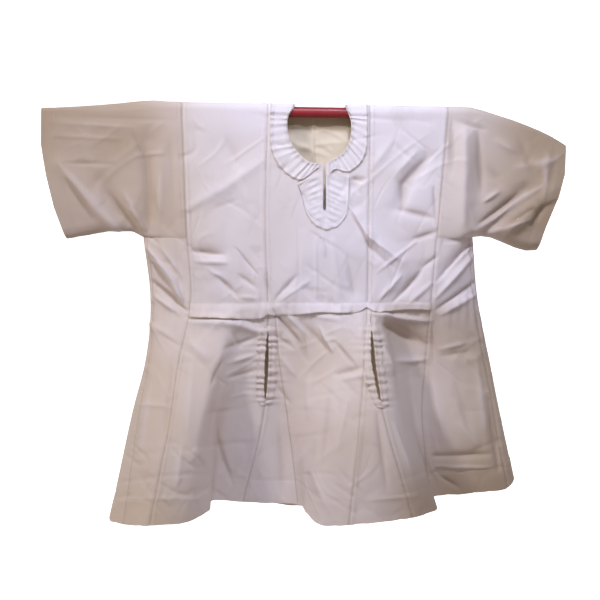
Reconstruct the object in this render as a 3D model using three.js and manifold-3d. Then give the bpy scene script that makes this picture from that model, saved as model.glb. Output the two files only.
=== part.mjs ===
// Fugu smock: a wide strip-cloth smock with a gathered neck band, a flared skirt and let-in godets,
// hung by its shoulders and sleeves over a plain turned rod. Millimetres, Z up, the front faces -Y,
// and the origin lies on the rod's axis, where the rod is held.
import * as THREE from 'three';
import Module from 'manifold-3d';

const wasm = await Module();
wasm.setup();

// Cloth, seams and rod
const wall = 2;
const seamGap = 0.3;
const layerGap = 0.5;
const rodRadius = 11;
const rodLeftEnd = -335;
const rodRightEnd = 318;
const rodFall = 0.0175;

// Fold of the cloth over the rod
const archRise = 17;
const archHalfDepth = 14.9;
const archCentreY = 1.3;
const archAngles = [90, 62, 32];

// Heights of the tailor's levels below the rod's axis
const underarmZ = -258;
const waistZ = -395;
const highZ = -523;
const lowZ = -613;
const tuckTopZ = -391;

// Neck slit, pocket slits and gathers
const neckSlitX = 12.5;
const neckSlitHalf = 4;
const neckSlitBottom = -203;
const pocketSlitHalf = 4.5;
const bindingHalfWidth = 24;
const bindingEndLap = 9;
const bindingWaves = 18;
const bandWaves = 12;
const gatherHeight = 0.9;

const cotton = { color: '#cdc4c6', roughness: 0.9 };
const sleeveCotton = { color: '#c5b4a9', roughness: 0.9 };
const trimCotton = { color: '#d6cdcb', roughness: 0.88 };
const lacqueredWood = { color: '#7d0f18', roughness: 0.28 };

// Fold lines that run down the cloth, in order round the body from the left side fold over the front
// to the right and along the back. Columns: x and forward depth at each level (the hem adds its
// height), and into how many strips the cloth is divided before the next line.
const foldLines = [
  { name: 'leftFold', underarm: [-365.2, 0], waist: [-352, 0], high: [-363, 15], low: [-383, 30],
    hem: [-431, 85, -839], strips: 2 },
  { name: 'leftSideSeam', underarm: [-357, 10], waist: [-346, 11], high: [-355, 30], low: [-370, 55],
    hem: [-400, 118, -838], strips: 2 },
  { name: 'leftGoreCrest', underarm: [-325, 20], waist: [-309, 24], high: [-325, 58], low: [-335, 90],
    hem: [-365, 145, -834], strips: 2 },
  { name: 'leftGoreSeam', shoulder: [-281, 13.6], underarm: [-272, 24], waist: [-266, 29],
    high: [-291, 70], low: [-302, 105], hem: [-342, 150, -833], strips: 3 },
  { name: 'leftLobeBrow', waist: [-173, 30], high: [-212, 76], low: [-235, 110],
    hem: [-266, 130, -829], strips: 3 },
  { name: 'leftLobeTurn', waist: [-142, 30], high: [-187, 50], low: [-213, 72],
    hem: [-227, 92, -818], strips: 2 },
  { name: 'recessLeft', waist: [-123, 30], high: [-153, 34], low: [-187, 34],
    hem: [-222, 26, -813], strips: 2 },
  { name: 'leftPocketSeam', shoulder: [-105, 13.6], underarm: [-110, 25], waist: [-105, 30],
    high: [-108, 30], low: [-113, 28], hem: [-159, 20, -819], strips: 3 },
  { name: 'leftGodetSeam', waist: [-92, 30], high: [-81, 28], low: [-68, 26],
    hem: [-42, 30, -821], strips: 3 },
  { name: 'centreLobeTurn', waist: [-17, 30], high: [-1, 40], low: [-21, 55],
    hem: [-24, 95, -821], strips: 2 },
  { name: 'centreLobeBrow', waist: [24, 31], high: [40, 66], low: [13, 100],
    hem: [6, 150, -830], strips: 2 },
  { name: 'rightGodetSeam', shoulder: [106, 13.6], underarm: [103, 25], waist: [101, 31],
    high: [92, 84], low: [83, 124], hem: [60, 165, -827], strips: 3 },
  { name: 'rightPocketSeam', waist: [109, 31], high: [114, 86], low: [132, 120],
    hem: [190, 148, -816], strips: 2 },
  { name: 'rightLobeBrow', waist: [128, 30], high: [147, 70], low: [162, 100],
    hem: [220, 130, -813], strips: 2 },
  { name: 'rightLobeTurn', waist: [145, 28], high: [164, 32], low: [180, 58],
    hem: [245, 90, -812], strips: 2 },
  { name: 'recessRight', waist: [170, 27], high: [190, 10], low: [199, 12],
    hem: [239, 42, -810], strips: 2 },
  { name: 'rightGoreSeam', shoulder: [266, 13.6], underarm: [245, 24], waist: [234, 28],
    high: [225, 13], low: [219, 10], hem: [240, 14, -809], strips: 4 },
  { name: 'rightGoreCrest', underarm: [290, 20], waist: [278, 25], high: [286, 28], low: [292, 32],
    hem: [330, 24, -797], strips: 3 },
  { name: 'rightSideSeam', underarm: [315, 10], waist: [326, 10], high: [350, 12], low: [368, 13],
    hem: [403, 13, -790], strips: 2 },
  { name: 'rightFold', underarm: [322.3, 0], waist: [336, 0], high: [363, 0], low: [382, 0],
    hem: [419, -2, -774], strips: 2 },
  { name: 'backRightFold', underarm: [315, -8], waist: [328, -10], high: [354, -16], low: [372, -22],
    hem: [408, -38, -788], strips: 3 },
  { name: 'backRightGoreSeam', shoulder: [266, -16.2], underarm: [245, -21], waist: [234, -25],
    high: [244, -40], low: [256, -55], hem: [290, -84, -812], strips: 3 },
  { name: 'backRightLobe', waist: [165, -26], high: [170, -56], low: [178, -75],
    hem: [205, -112, -828], strips: 3 },
  { name: 'backRightInner', waist: [90, -26], high: [88, -40], low: [92, -50],
    hem: [105, -72, -835], strips: 3 },
  { name: 'backCentreSeam', shoulder: [-10, -16.2], underarm: [-10, -22], waist: [-10, -26],
    high: [-10, -25], low: [-10, -25], hem: [-8, -27, -840], strips: 3 },
  { name: 'backLeftInner', waist: [-110, -26], high: [-108, -38], low: [-112, -48],
    hem: [-118, -60, -840], strips: 3 },
  { name: 'backLeftLobe', waist: [-185, -26], high: [-195, -54], low: [-205, -74],
    hem: [-235, -110, -840], strips: 3 },
  { name: 'backLeftGoreSeam', shoulder: [-281, -16.2], underarm: [-272, -21], waist: [-266, -25],
    high: [-280, -42], low: [-292, -58], hem: [-330, -88, -841], strips: 3 },
  { name: 'backLeftFold', underarm: [-356, -8], waist: [-346, -10], high: [-362, -9], low: [-386, -12],
    hem: [-425, -20, -842], strips: 3 },
];

// Rows down the cloth: level above, and share of the way to the level below it
const levels = ['shoulder', 'underarm', 'waist', 'high', 'low', 'hem'];
const bodiceShares = [0, 0.11, 0.22, 0.34, 0.47, 0.6, 0.73, 0.87];
const flankShares = [0, 0.25, 0.5, 0.75, 0.97];
const rowTable = [
  ...bodiceShares.map((share) => ({ level: 0, share })),
  ...flankShares.map((share) => ({ level: 1, share })),
  ...[0, 0.07, 0.17, 0.42, 0.6, 0.8].map((share) => ({ level: 2, share })),
  ...[0, 0.27, 0.54, 0.8].map((share) => ({ level: 3, share })),
  ...[0, 0.2, 0.45, 0.72, 1].map((share) => ({ level: 4, share })),
];
const archRows = archAngles.length;
const shoulderRow = archRows;
const underarmRow = archRows + bodiceShares.length;
const waistRow = underarmRow + flankShares.length;
const lastRow = archRows + rowTable.length - 1;

// Broad creases of bodice and sleeves. Columns: the crease's two ends (x, z), half width, and height
// above the cloth round it; troughs are negative.
const frontCreases = [
  { from: [82, -212], to: [107, -252], half: 14, height: 4 },
  { from: [107, -252], to: [172, -306], half: 15, height: 4 },
  { from: [160, -196], to: [224, -92], half: 17, height: -4 },
  { from: [214, -323], to: [157, -386], half: 14, height: -3.5 },
  { from: [-258, -284], to: [-190, -286], half: 14, height: -3 },
  { from: [-352, -30], to: [-352, -240], half: 15, height: -5 },
  { from: [-450, -140], to: [-384, -240], half: 14, height: -4 },
  { from: [-530, -108], to: [-430, -236], half: 20, height: 5 },
  { from: [-360, -290], to: [-290, -380], half: 12, height: 4 },
  { from: [305, -20], to: [302, -244], half: 20, height: 7 },
  { from: [345, -244], to: [425, -160], half: 15, height: -8 },
  { from: [393, -240], to: [480, -160], half: 17, height: 8 },
  { from: [322, -268], to: [262, -322], half: 13, height: -4 },
];
const backCreases = [
  { from: [-330, -60], to: [-345, -240], half: 18, height: 5 },
  { from: [-470, -70], to: [-420, -230], half: 20, height: 4 },
  { from: [-180, -150], to: [-120, -330], half: 20, height: 3 },
  { from: [90, -140], to: [150, -330], half: 20, height: 3 },
  { from: [320, -60], to: [300, -236], half: 18, height: 5 },
  { from: [400, -80], to: [440, -240], half: 20, height: 5 },
];

// Sleeves: share along the sleeve, height of its top fold and bottom fold, and half depth there
const sleeveTable = {
  left: [
    { along: 0, top: 22, bottom: -258, half: 14.9 },
    { along: 0.1, top: 23, bottom: -258, half: 14.9 },
    { along: 0.2, top: 25, bottom: -258, half: 14.9 },
    { along: 0.28, top: 24, bottom: -258, half: 13 },
    { along: 0.37, top: 21.5, bottom: -258, half: 11 },
    { along: 0.45, top: 19, bottom: -247, half: 10 },
    { along: 0.55, top: 16.5, bottom: -244, half: 9 },
    { along: 0.67, top: 14, bottom: -246, half: 8 },
    { along: 0.78, top: 12, bottom: -251, half: 7.5 },
    { along: 0.89, top: 10.5, bottom: -256, half: 7 },
    { along: 1, top: 9, bottom: -260, half: 7 },
  ],
  right: [
    { along: 0, top: 12.3, bottom: -258, half: 14.9 },
    { along: 0.1, top: 12, bottom: -258, half: 15.4 },
    { along: 0.2, top: 10.5, bottom: -258, half: 16 },
    { along: 0.28, top: 6, bottom: -258, half: 15 },
    { along: 0.37, top: -1, bottom: -258, half: 12 },
    { along: 0.45, top: -7.5, bottom: -256, half: 11 },
    { along: 0.55, top: -15, bottom: -259, half: 10 },
    { along: 0.67, top: -26, bottom: -269, half: 9 },
    { along: 0.78, top: -37, bottom: -279, half: 9 },
    { along: 0.89, top: -50, bottom: -286, half: 10 },
    { along: 1, top: -67, bottom: -285, half: 11 },
  ],
};
// Cuff edges: x at the top fold, at quarter heights and at the bottom fold; belly is the most depth
const cuffTable = {
  left: { x: [-572, -573, -563, -548, -525], frontBelly: 15, backBelly: 13 },
  right: { x: [511, 508, 492, 471, 454], frontBelly: 30, backBelly: 26 },
};
const closingShare = 0.37;
const bottomRoundFrom = 0.9;
const sleeveShares = [...bodiceShares.slice(1), 0.94, 0.98, 1];

// Neck opening: x and z along its edge from the left shoulder round to the right one;
// behind the rod's top it ends at a low back edge
const neckLeft = -48;
const neckRight = 55;
const backNeckDepth = 9.4;
const neckEdge = [
  [neckLeft, 13], [-62, -10], [-64, -24], [-62, -43], [-53, -67], [-35, -89], [-20, -100], [3, -105],
  [15, -104], [37, -92], [58, -73], [66, -49], [67, -24], [64, -10], [neckRight, 12],
];
// Neck band stations: x and z on its inner edge, then on its outer edge
const bandTable = {
  left: [
    [-49, 13.5, -98, 14.5], [-63, -10, -99, -8], [-65, -24, -100, -27], [-63, -43, -100, -50],
    [-54, -68, -98, -74], [-45, -80, -90, -97], [-36, -90, -73, -120], [-21, -101, -55, -133],
    [-9, -105, -37, -139], [2, -106, 0, -113],
  ],
  right: [
    [22, -103, 24, -126], [30, -98, 36, -117], [40, -91, 61, -123], [49, -83, 74, -116],
    [59, -73, 85, -107], [64, -62, 94, -93], [67, -49, 100, -73], [68, -30, 101, -47],
    [68, -16, 101, -22], [65, -6, 101, -6], [56, 12, 101, 13],
  ],
};
// Placket: x of each strip, height of its top edge below the neck band, and of its bottom edge
const placketTable = [
  [-43, -146, -149], [-39, -144.5, -156], [-35, -142.5, -172], [-28, -137.5, -200],
  [-16, -129, -222], [-5, -121.5, -232], [8, -117, -239], [17, -128, -241], [25, -130, -240],
  [36, -121.5, -236.5], [48, -126, -227], [57, -129, -212], [62, -131, -187], [64.5, -134, -150],
];

// Heights and tangents of a smooth curve through values at falling heights
function valueAt(zs, values, z) {
  const last = zs.length - 1;
  let i = 0;
  while (i < last - 1 && z < zs[i + 1]) i += 1;
  const slopeOf = (k) => (values[k + 1] - values[k]) / (zs[k + 1] - zs[k]);
  const tangent = (k) => {
    if (k === 0) return slopeOf(0);
    if (k === last) return slopeOf(last - 1);
    const before = zs[k - 1] - zs[k];
    const after = zs[k] - zs[k + 1];
    return (slopeOf(k - 1) * after + slopeOf(k) * before) / (before + after);
  };
  const span = zs[i + 1] - zs[i];
  const s = (z - zs[i]) / span;
  const s2 = s * s;
  const s3 = s2 * s;
  return (2 * s3 - 3 * s2 + 1) * values[i] + (s3 - 2 * s2 + s) * span * tangent(i)
    + (3 * s2 - 2 * s3) * values[i + 1] + (s3 - s2) * span * tangent(i + 1);
}

const levelHeights = [0, underarmZ, waistZ, highZ, lowZ];

function levelHeight(line, level) {
  if (level === 0) return -rodFall * (line.shoulder ? line.shoulder[0] : 0);
  return level === 5 ? line.hem[2] : levelHeights[level];
}

// Point of one fold line at a row, or null where the line does not reach
function linePoint(line, { level, share }) {
  const known = [0, 1, 2, 3, 4, 5].filter((k) => line[levels[k]]);
  if (level < known[0]) return null;
  const below = Math.min(level + 1, 5);
  const z = THREE.MathUtils.lerp(levelHeight(line, level), levelHeight(line, below), share);
  const zs = known.map((k) => levelHeight(line, k));
  const x = valueAt(zs, known.map((k) => line[levels[k]][0]), z);
  const forward = valueAt(zs, known.map((k) => line[levels[k]][1]), z);
  return new THREE.Vector3(x, -forward, z);
}

// First column of every fold line, and the number of columns round the body
const columnOf = {};
let columnCount = 0;
for (const line of foldLines) {
  columnOf[line.name] = columnCount;
  columnCount += line.strips;
}

const isSeamAbove = (line) => Boolean(line.shoulder);

// Lines that start at the waist are carried up between the seams at either side of them
function carriedPoint(index, row) {
  let left = index;
  while (!isSeamAbove(foldLines[left])) left -= 1;
  let right = index;
  while (!isSeamAbove(foldLines[right])) right += 1;
  const a = linePoint(foldLines[left], row);
  const b = linePoint(foldLines[right], row);
  const atWaist = (k) => foldLines[k].waist[0];
  const firstColumn = columnOf[foldLines[left].name];
  const lastColumn = columnOf[foldLines[right].name];
  const even = (columnOf[foldLines[index].name] - firstColumn) / (lastColumn - firstColumn);
  const worn = (atWaist(index) - atWaist(left)) / (atWaist(right) - atWaist(left));
  const rise = THREE.MathUtils.clamp((a.z - waistZ) / (underarmZ - waistZ), 0, 1);
  const point = a.clone().lerp(b, THREE.MathUtils.lerp(worn, even, rise));
  const waistDepth = -foldLines[index].waist[1];
  point.y = THREE.MathUtils.lerp(waistDepth, point.y, rise);
  return point;
}

// Centripetal spline through the fold lines' points, divided into strips
function crossSection(points, strips, closed) {
  const result = [];
  const count = points.length;
  const pick = (i) => {
    if (closed) return points[(i + count) % count];
    if (i < 0) return points[0].clone().multiplyScalar(2).sub(points[1]);
    if (i >= count) return points[count - 1].clone().multiplyScalar(2).sub(points[count - 2]);
    return points[i];
  };
  const spans = closed ? count : count - 1;
  for (let i = 0; i < spans; i += 1) {
    const four = new THREE.CatmullRomCurve3([pick(i - 1), pick(i), pick(i + 1), pick(i + 2)]);
    four.curveType = 'centripetal';
    for (let k = 0; k < strips[i]; k += 1) result.push(four.getPoint((1 + k / strips[i]) / 3));
  }
  if (!closed) result.push(points[count - 1].clone());
  return result;
}

function creaseHeight(creases, x, z) {
  let height = 0;
  for (const crease of creases) {
    const [x0, z0] = crease.from;
    const dx = crease.to[0] - x0;
    const dz = crease.to[1] - z0;
    const along = ((x - x0) * dx + (z - z0) * dz) / (dx * dx + dz * dz);
    const held = THREE.MathUtils.clamp(along, 0, 1);
    const away = Math.hypot(x - x0 - dx * held, z - z0 - dz * held);
    height += crease.height * Math.exp(-((away / crease.half) ** 2));
  }
  return height;
}

// Creases fade out at the rod and just above the tuck
function crease(point) {
  const top = THREE.MathUtils.smoothstep(-point.z, 12, 60);
  const bottom = THREE.MathUtils.smoothstep(point.z, waistZ, waistZ + 30);
  const side = point.y < archCentreY ? frontCreases : backCreases;
  const held = Math.min(1, Math.abs(point.y) / 12);
  const height = creaseHeight(side, point.x, point.z) * top * bottom * held;
  point.y += point.y < archCentreY ? -height : height;
  return point;
}

// Grid of the trunk: rows from the top of the rod to the hem, columns round the body
const grid = [];

function upperRow(row, firstName, lastName) {
  const first = foldLines.findIndex((line) => line.name === firstName);
  const last = foldLines.findIndex((line) => line.name === lastName);
  const points = [];
  const strips = [];
  for (let i = first; i <= last; i += 1) {
    const line = foldLines[i];
    const point = isSeamAbove(line) ? linePoint(line, row) : carriedPoint(i, row);
    points.push(point);
    strips.push(line.strips);
  }
  return crossSection(points, strips, false);
}

rowTable.forEach((row, index) => {
  const target = new Array(columnCount).fill(null);
  if (row.level === 0) {
    const front = upperRow(row, 'leftGoreSeam', 'rightGoreSeam');
    const back = upperRow(row, 'backRightGoreSeam', 'backLeftGoreSeam');
    front.forEach((point, k) => { target[columnOf.leftGoreSeam + k] = point; });
    back.forEach((point, k) => { target[columnOf.backRightGoreSeam + k] = point; });
    for (const point of target) {
      if (point) point.z = THREE.MathUtils.lerp(-rodFall * point.x, underarmZ, row.share);
    }
  } else {
    const points = foldLines.map((line, i) => linePoint(line, row) ?? carriedPoint(i, row));
    const strips = foldLines.map((line) => line.strips);
    crossSection(points, strips, true).forEach((point, k) => { target[k] = point; });
  }
  for (const point of target) if (point && row.level < 2) crease(point);
  grid[archRows + index] = target;
});

// Rows over the rod repeat the shoulder row's x on an arch
archAngles.forEach((angle, index) => {
  const turn = THREE.MathUtils.degToRad(angle);
  grid[index] = grid[shoulderRow].map((point) => {
    if (!point) return null;
    const side = point.y < 0 ? -1 : 1;
    const y = archCentreY + side * archHalfDepth * Math.cos(turn);
    return new THREE.Vector3(point.x, y, -rodFall * point.x + archRise * Math.sin(turn));
  });
});

// Outward unit normals of a grid of points; missing neighbours fall back to one side
function gridNormals(points, wraps) {
  const rows = points.length;
  const columns = points[0].length;
  const at = (r, c) => {
    if (r < 0 || r >= rows) return null;
    if (wraps) return points[r][(c + columns) % columns];
    return points[r][c] ?? null;
  };
  return points.map((row, r) => row.map((point, c) => {
    if (!point) return null;
    const across = (at(r, c + 1) ?? point).clone().sub(at(r, c - 1) ?? point);
    const down = (at(r + 1, c) ?? point).clone().sub(at(r - 1, c) ?? point);
    return down.cross(across).normalize();
  }));
}

const gridNormal = gridNormals(grid, true);
for (const normal of gridNormal[0]) {
  if (normal) normal.set(0, 0, 1);
}

// Closed wall between an outer and an inner grid of the same shape
function closeWall(outer, inner, ring = false) {
  const rows = outer.length;
  const columns = outer[0].length;
  const positions = [];
  const index = [];
  for (const layer of [outer, inner]) {
    for (const row of layer) for (const point of row) positions.push(point.x, point.y, point.z);
  }
  const id = (layer, r, c) => layer * rows * columns + r * columns + (c % columns);
  const quad = (a, b, c, d) => index.push(a, b, c, a, c, d);
  const spans = ring ? columns : columns - 1;
  for (let r = 0; r < rows - 1; r += 1) {
    for (let c = 0; c < spans; c += 1) {
      quad(id(0, r, c), id(0, r + 1, c), id(0, r + 1, c + 1), id(0, r, c + 1));
      quad(id(1, r, c), id(1, r, c + 1), id(1, r + 1, c + 1), id(1, r + 1, c));
    }
  }
  for (let c = 0; c < spans; c += 1) {
    quad(id(0, 0, c), id(0, 0, c + 1), id(1, 0, c + 1), id(1, 0, c));
    quad(id(0, rows - 1, c), id(1, rows - 1, c), id(1, rows - 1, c + 1), id(0, rows - 1, c + 1));
  }
  if (!ring) {
    for (let r = 0; r < rows - 1; r += 1) {
      quad(id(0, r, 0), id(1, r, 0), id(1, r + 1, 0), id(0, r + 1, 0));
      const end = columns - 1;
      quad(id(0, r, end), id(0, r + 1, end), id(1, r + 1, end), id(1, r, end));
    }
  }
  const geometry = new THREE.BufferGeometry();
  geometry.setAttribute('position', new THREE.Float32BufferAttribute(positions, 3));
  geometry.setIndex(index);
  return geometry;
}

const moveTowards = (from, to, distance) => {
  const step = to.clone().sub(from);
  return from.clone().addScaledVector(step.normalize(), distance);
};

// Spreads a row's points evenly over what is left between two clearances at its ends
function squeezed(row, leftAmount, rightAmount) {
  const reach = [0];
  for (let k = 1; k < row.length; k += 1) reach.push(reach[k - 1] + row[k].distanceTo(row[k - 1]));
  const whole = reach[row.length - 1];
  return row.map((point, k) => {
    const target = leftAmount + (reach[k] * (whole - leftAmount - rightAmount)) / whole;
    let i = 0;
    while (i < row.length - 2 && reach[i + 1] < target) i += 1;
    return row[i].clone().lerp(row[i + 1], (target - reach[i]) / (reach[i + 1] - reach[i]));
  });
}

// Draws the border rows and columns of a grid in by the given clearances
function trimmed(points, trim) {
  const result = points.map((row) => row.map((point) => point.clone()));
  const lastR = result.length - 1;
  const lastC = result[0].length - 1;
  const drawIn = (r, c, dr, dc, amount) => {
    if (amount > 0) result[r][c] = moveTowards(result[r][c], result[r + dr][c + dc], amount);
  };
  for (let r = 0; r <= lastR; r += 1) {
    const left = trim.left ? trim.left(points[r][0]) : 0;
    const right = trim.right ? trim.right(points[r][lastC]) : 0;
    if (Math.max(left, right) > 1) {
      result[r] = squeezed(points[r], left, right);
    } else {
      drawIn(r, 0, 0, 1, left);
      drawIn(r, lastC, 0, -1, right);
    }
  }
  for (let c = 0; c <= lastC; c += 1) {
    drawIn(0, c, 1, 0, trim.top ?? 0);
    drawIn(lastR, c, -1, 0, trim.bottom ?? 0);
  }
  return result;
}

const offsetPoints = (points, normals, distance) => points.map((row, r) => row.map((point, c) => (
  point.clone().addScaledVector(normals[r][c], distance)
)));

// One panel of the trunk between two fold lines and two rows
function panelGeometry({ from, to, firstRow, finalRow, trim }) {
  const first = columnOf[from];
  const final = to === 'leftFold' ? columnCount : columnOf[to];
  const count = (final - first + columnCount) % columnCount || columnCount;
  const slice = (source) => {
    const rows = [];
    for (let r = firstRow; r <= finalRow; r += 1) {
      const row = [];
      for (let k = 0; k <= count; k += 1) row.push(source[r][(first + k) % columnCount]);
      rows.push(row);
    }
    return rows;
  };
  const outer = slice(grid);
  const inner = offsetPoints(outer, slice(gridNormal), -wall);
  const level = (row) => inner[row].forEach((point, k) => { point.z = outer[row][k].z; });
  if (firstRow > 0) level(0);
  if (finalRow < lastRow) level(outer.length - 1);
  return closeWall(trimmed(outer, trim), trimmed(inner, trim));
}

const halfGap = seamGap / 2;
const plainSeam = () => halfGap;

// A pocket seam opens into a lens between these heights
function pocketSeam(topZ, bottomZ) {
  return (point) => {
    const middle = (topZ + bottomZ) / 2;
    const reach = (point.z - middle) / ((topZ - bottomZ) / 2);
    if (Math.abs(reach) >= 1) return halfGap;
    return Math.max(halfGap, pocketSlitHalf * Math.sqrt(1 - reach * reach));
  };
}
const leftPocket = { top: -450, bottom: -600, seam: 'leftPocketSeam', lift: 0.5 };
const rightPocket = { top: -446, bottom: -590, seam: 'rightPocketSeam', lift: 1.1 };
const leftPocketTrim = pocketSeam(leftPocket.top, leftPocket.bottom);
const rightPocketTrim = pocketSeam(rightPocket.top, rightPocket.bottom);

// Point and outward normal on the trunk's own facets at a fractional row and column
function onTrunk(r, c) {
  const r0 = Math.min(Math.floor(r), lastRow - 1);
  const c0 = Math.floor(c);
  const fr = r - r0;
  const fc = c - c0;
  const blend = (source) => {
    const pick = (i, j) => source[r0 + i][(c0 + j + columnCount) % columnCount];
    const upper = pick(0, 0).clone().lerp(pick(0, 1), fc);
    return upper.lerp(pick(1, 0).clone().lerp(pick(1, 1), fc), fr);
  };
  return { point: blend(grid), normal: blend(gridNormal).normalize() };
}

// Fractional row at which a column of the trunk passes a height
function rowAtHeight(c, z) {
  let r = 0;
  while (r < lastRow - 1 && onTrunk(r + 1, c).point.z > z) r += 1;
  const upper = onTrunk(r, c).point.z;
  const lower = onTrunk(r + 1, c).point.z;
  return r + THREE.MathUtils.clamp((upper - z) / (upper - lower), 0, 1);
}

// Fractional row and column of a place on a panel, found from its x and z
function findOnPanel(x, z, from, to) {
  let c = (columnOf[from] + columnOf[to]) / 2;
  let r = shoulderRow;
  for (let pass = 0; pass < 6; pass += 1) {
    r = rowAtHeight(c, z);
    const startX = onTrunk(r, columnOf[from]).point.x;
    const heading = Math.sign(onTrunk(r, columnOf[to] - 1).point.x - startX);
    let k = columnOf[from];
    while (k < columnOf[to] - 1 && (onTrunk(r, k + 1).point.x - x) * heading < 0) k += 1;
    const a = onTrunk(r, k).point.x;
    const b = onTrunk(r, k + 1).point.x;
    c = k + THREE.MathUtils.clamp((x - a) / (b - a), 0, 1);
  }
  return { r, c };
}

// Place on the trunk at a row and a distance across from a seam, measured along the cloth
function acrossFromSeam(r, seamColumn, distance) {
  const step = Math.sign(distance) || 1;
  let left = Math.abs(distance);
  let c = seamColumn;
  for (let guard = 0; guard < 12; guard += 1) {
    const here = onTrunk(r, c).point;
    const next = onTrunk(r, c + step).point;
    const span = here.distanceTo(next);
    if (left <= span) return onTrunk(r, c + (step * left) / span);
    left -= span;
    c += step;
  }
  return onTrunk(r, c);
}

const places = (stations) => stations.map((row) => row.map(({ place, lift }) => (
  place.point.clone().addScaledVector(place.normal, lift)
)));

// Layer sewn on a panel: its under face lies just off the panel and its top face carries gathers
function layerGeometry(stations, ring = false) {
  const outer = places(stations.map((row) => row.map((s) => ({ place: s.place, lift: s.top }))));
  const inner = places(stations.map((row) => row.map((s) => ({ place: s.place, lift: s.under }))));
  return closeWall(outer, inner, ring);
}

function toManifold(geometry) {
  const numProp = 3;
  const vertProperties = new Float32Array(geometry.attributes.position.array);
  const triVerts = new Uint32Array(geometry.index.array);
  return new wasm.Manifold(new wasm.Mesh({ numProp, vertProperties, triVerts }));
}

function fromManifold(solid) {
  const mesh = solid.getMesh();
  const geometry = new THREE.BufferGeometry();
  const positions = [];
  for (let i = 0; i < mesh.vertProperties.length; i += mesh.numProp) {
    positions.push(mesh.vertProperties[i], mesh.vertProperties[i + 1], mesh.vertProperties[i + 2]);
  }
  geometry.setAttribute('position', new THREE.Float32BufferAttribute(positions, 3));
  geometry.setIndex(Array.from(mesh.triVerts));
  return geometry;
}

// Prism with a flat outline in x and z, running through the cloth along y
function cutter(outline) {
  const depth = 120;
  const near = outline.map(([x, z]) => new THREE.Vector3(x, -depth / 2, z));
  const far = outline.map(([x, z]) => new THREE.Vector3(x, depth / 2, z));
  const faces = THREE.ShapeUtils.triangulateShape(outline.map(([x, z]) => new THREE.Vector2(x, z)), []);
  const positions = [...near, ...far].flatMap((point) => point.toArray());
  const count = outline.length;
  const index = [];
  for (const [a, b, c] of faces) index.push(a, b, c, a + count, c + count, b + count);
  for (let i = 0; i < count; i += 1) {
    const j = (i + 1) % count;
    index.push(i, i + count, j, j, i + count, j + count);
  }
  const geometry = new THREE.BufferGeometry();
  geometry.setAttribute('position', new THREE.Float32BufferAttribute(positions, 3));
  geometry.setIndex(index);
  return toManifold(geometry);
}

function smoothOutline(points, divisions) {
  const curve = new THREE.CatmullRomCurve3(points.map(([x, z]) => new THREE.Vector3(x, z, 0)));
  curve.curveType = 'centripetal';
  return curve.getPoints(divisions).map((point) => [point.x, point.y]);
}

const group = new THREE.Group();
group.name = 'fugu_smock';

function add(name, geometry, look) {
  const material = new THREE.MeshStandardMaterial({ ...look, metalness: 0 });
  const mesh = new THREE.Mesh(geometry, material);
  mesh.name = name;
  group.add(mesh);
}

// Rod
const rodLength = rodRightEnd - rodLeftEnd;
const rod = new THREE.CylinderGeometry(rodRadius, rodRadius, rodLength, 28);
rod.rotateZ(Math.PI / 2);
rod.translate((rodRightEnd + rodLeftEnd) / 2, 0, 0);
rod.rotateY(Math.atan(rodFall));
add('hanging_rod', rod, lacqueredWood);

// Front bodice
const bodice = { firstRow: 0, finalRow: waistRow };
const bodiceTrim = { left: plainSeam, right: plainSeam, top: halfGap, bottom: halfGap };
const neckOutline = [[neckLeft, 40], ...smoothOutline(neckEdge, 36), [neckRight, 40]];
const neckSlit = [
  [neckSlitX - neckSlitHalf, -90], [neckSlitX - neckSlitHalf, neckSlitBottom + 3],
  [neckSlitX, neckSlitBottom], [neckSlitX + 2, -218], [neckSlitX + 4, -218],
  [neckSlitX + neckSlitHalf, neckSlitBottom], [neckSlitX + neckSlitHalf, -90],
];
const neckCutter = cutter(neckOutline).add(cutter(neckSlit));
add('front_left_panel', panelGeometry({
  from: 'leftGoreSeam', to: 'leftPocketSeam', ...bodice, trim: bodiceTrim,
}), cotton);
const centreFront = panelGeometry({
  from: 'leftPocketSeam', to: 'rightGodetSeam', ...bodice, trim: bodiceTrim,
});
add('front_centre_panel', fromManifold(toManifold(centreFront).subtract(neckCutter)), cotton);
add('front_right_panel', panelGeometry({
  from: 'rightGodetSeam', to: 'rightGoreSeam', ...bodice, trim: bodiceTrim,
}), cotton);

// Back panels from shoulder to hem
const wholeBack = { firstRow: 0, finalRow: lastRow };
const backTrim = { left: plainSeam, right: plainSeam, top: halfGap };
const backNeckOutline = [
  [neckLeft, 40], [neckLeft, backNeckDepth], [neckRight, backNeckDepth], [neckRight, 40],
];
for (const [name, from, to] of [
  ['back_right_panel', 'backRightGoreSeam', 'backCentreSeam'],
  ['back_left_panel', 'backCentreSeam', 'backLeftGoreSeam'],
]) {
  const panel = toManifold(panelGeometry({ from, to, ...wholeBack, trim: backTrim }));
  add(name, fromManifold(panel.subtract(cutter(backNeckOutline))), cotton);
}

// Side gores from underarm to hem
const goreRows = { firstRow: underarmRow, finalRow: lastRow };
add('front_left_gore', panelGeometry({
  from: 'leftSideSeam', to: 'leftGoreSeam', ...goreRows, trim: backTrim,
}), cotton);
add('front_right_gore', panelGeometry({
  from: 'rightGoreSeam', to: 'rightSideSeam', ...goreRows, trim: backTrim,
}), cotton);
add('back_right_gore', panelGeometry({
  from: 'rightSideSeam', to: 'backRightGoreSeam', ...goreRows, trim: backTrim,
}), cotton);
add('back_left_gore', panelGeometry({
  from: 'backLeftGoreSeam', to: 'leftSideSeam', ...goreRows, trim: backTrim,
}), cotton);

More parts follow.
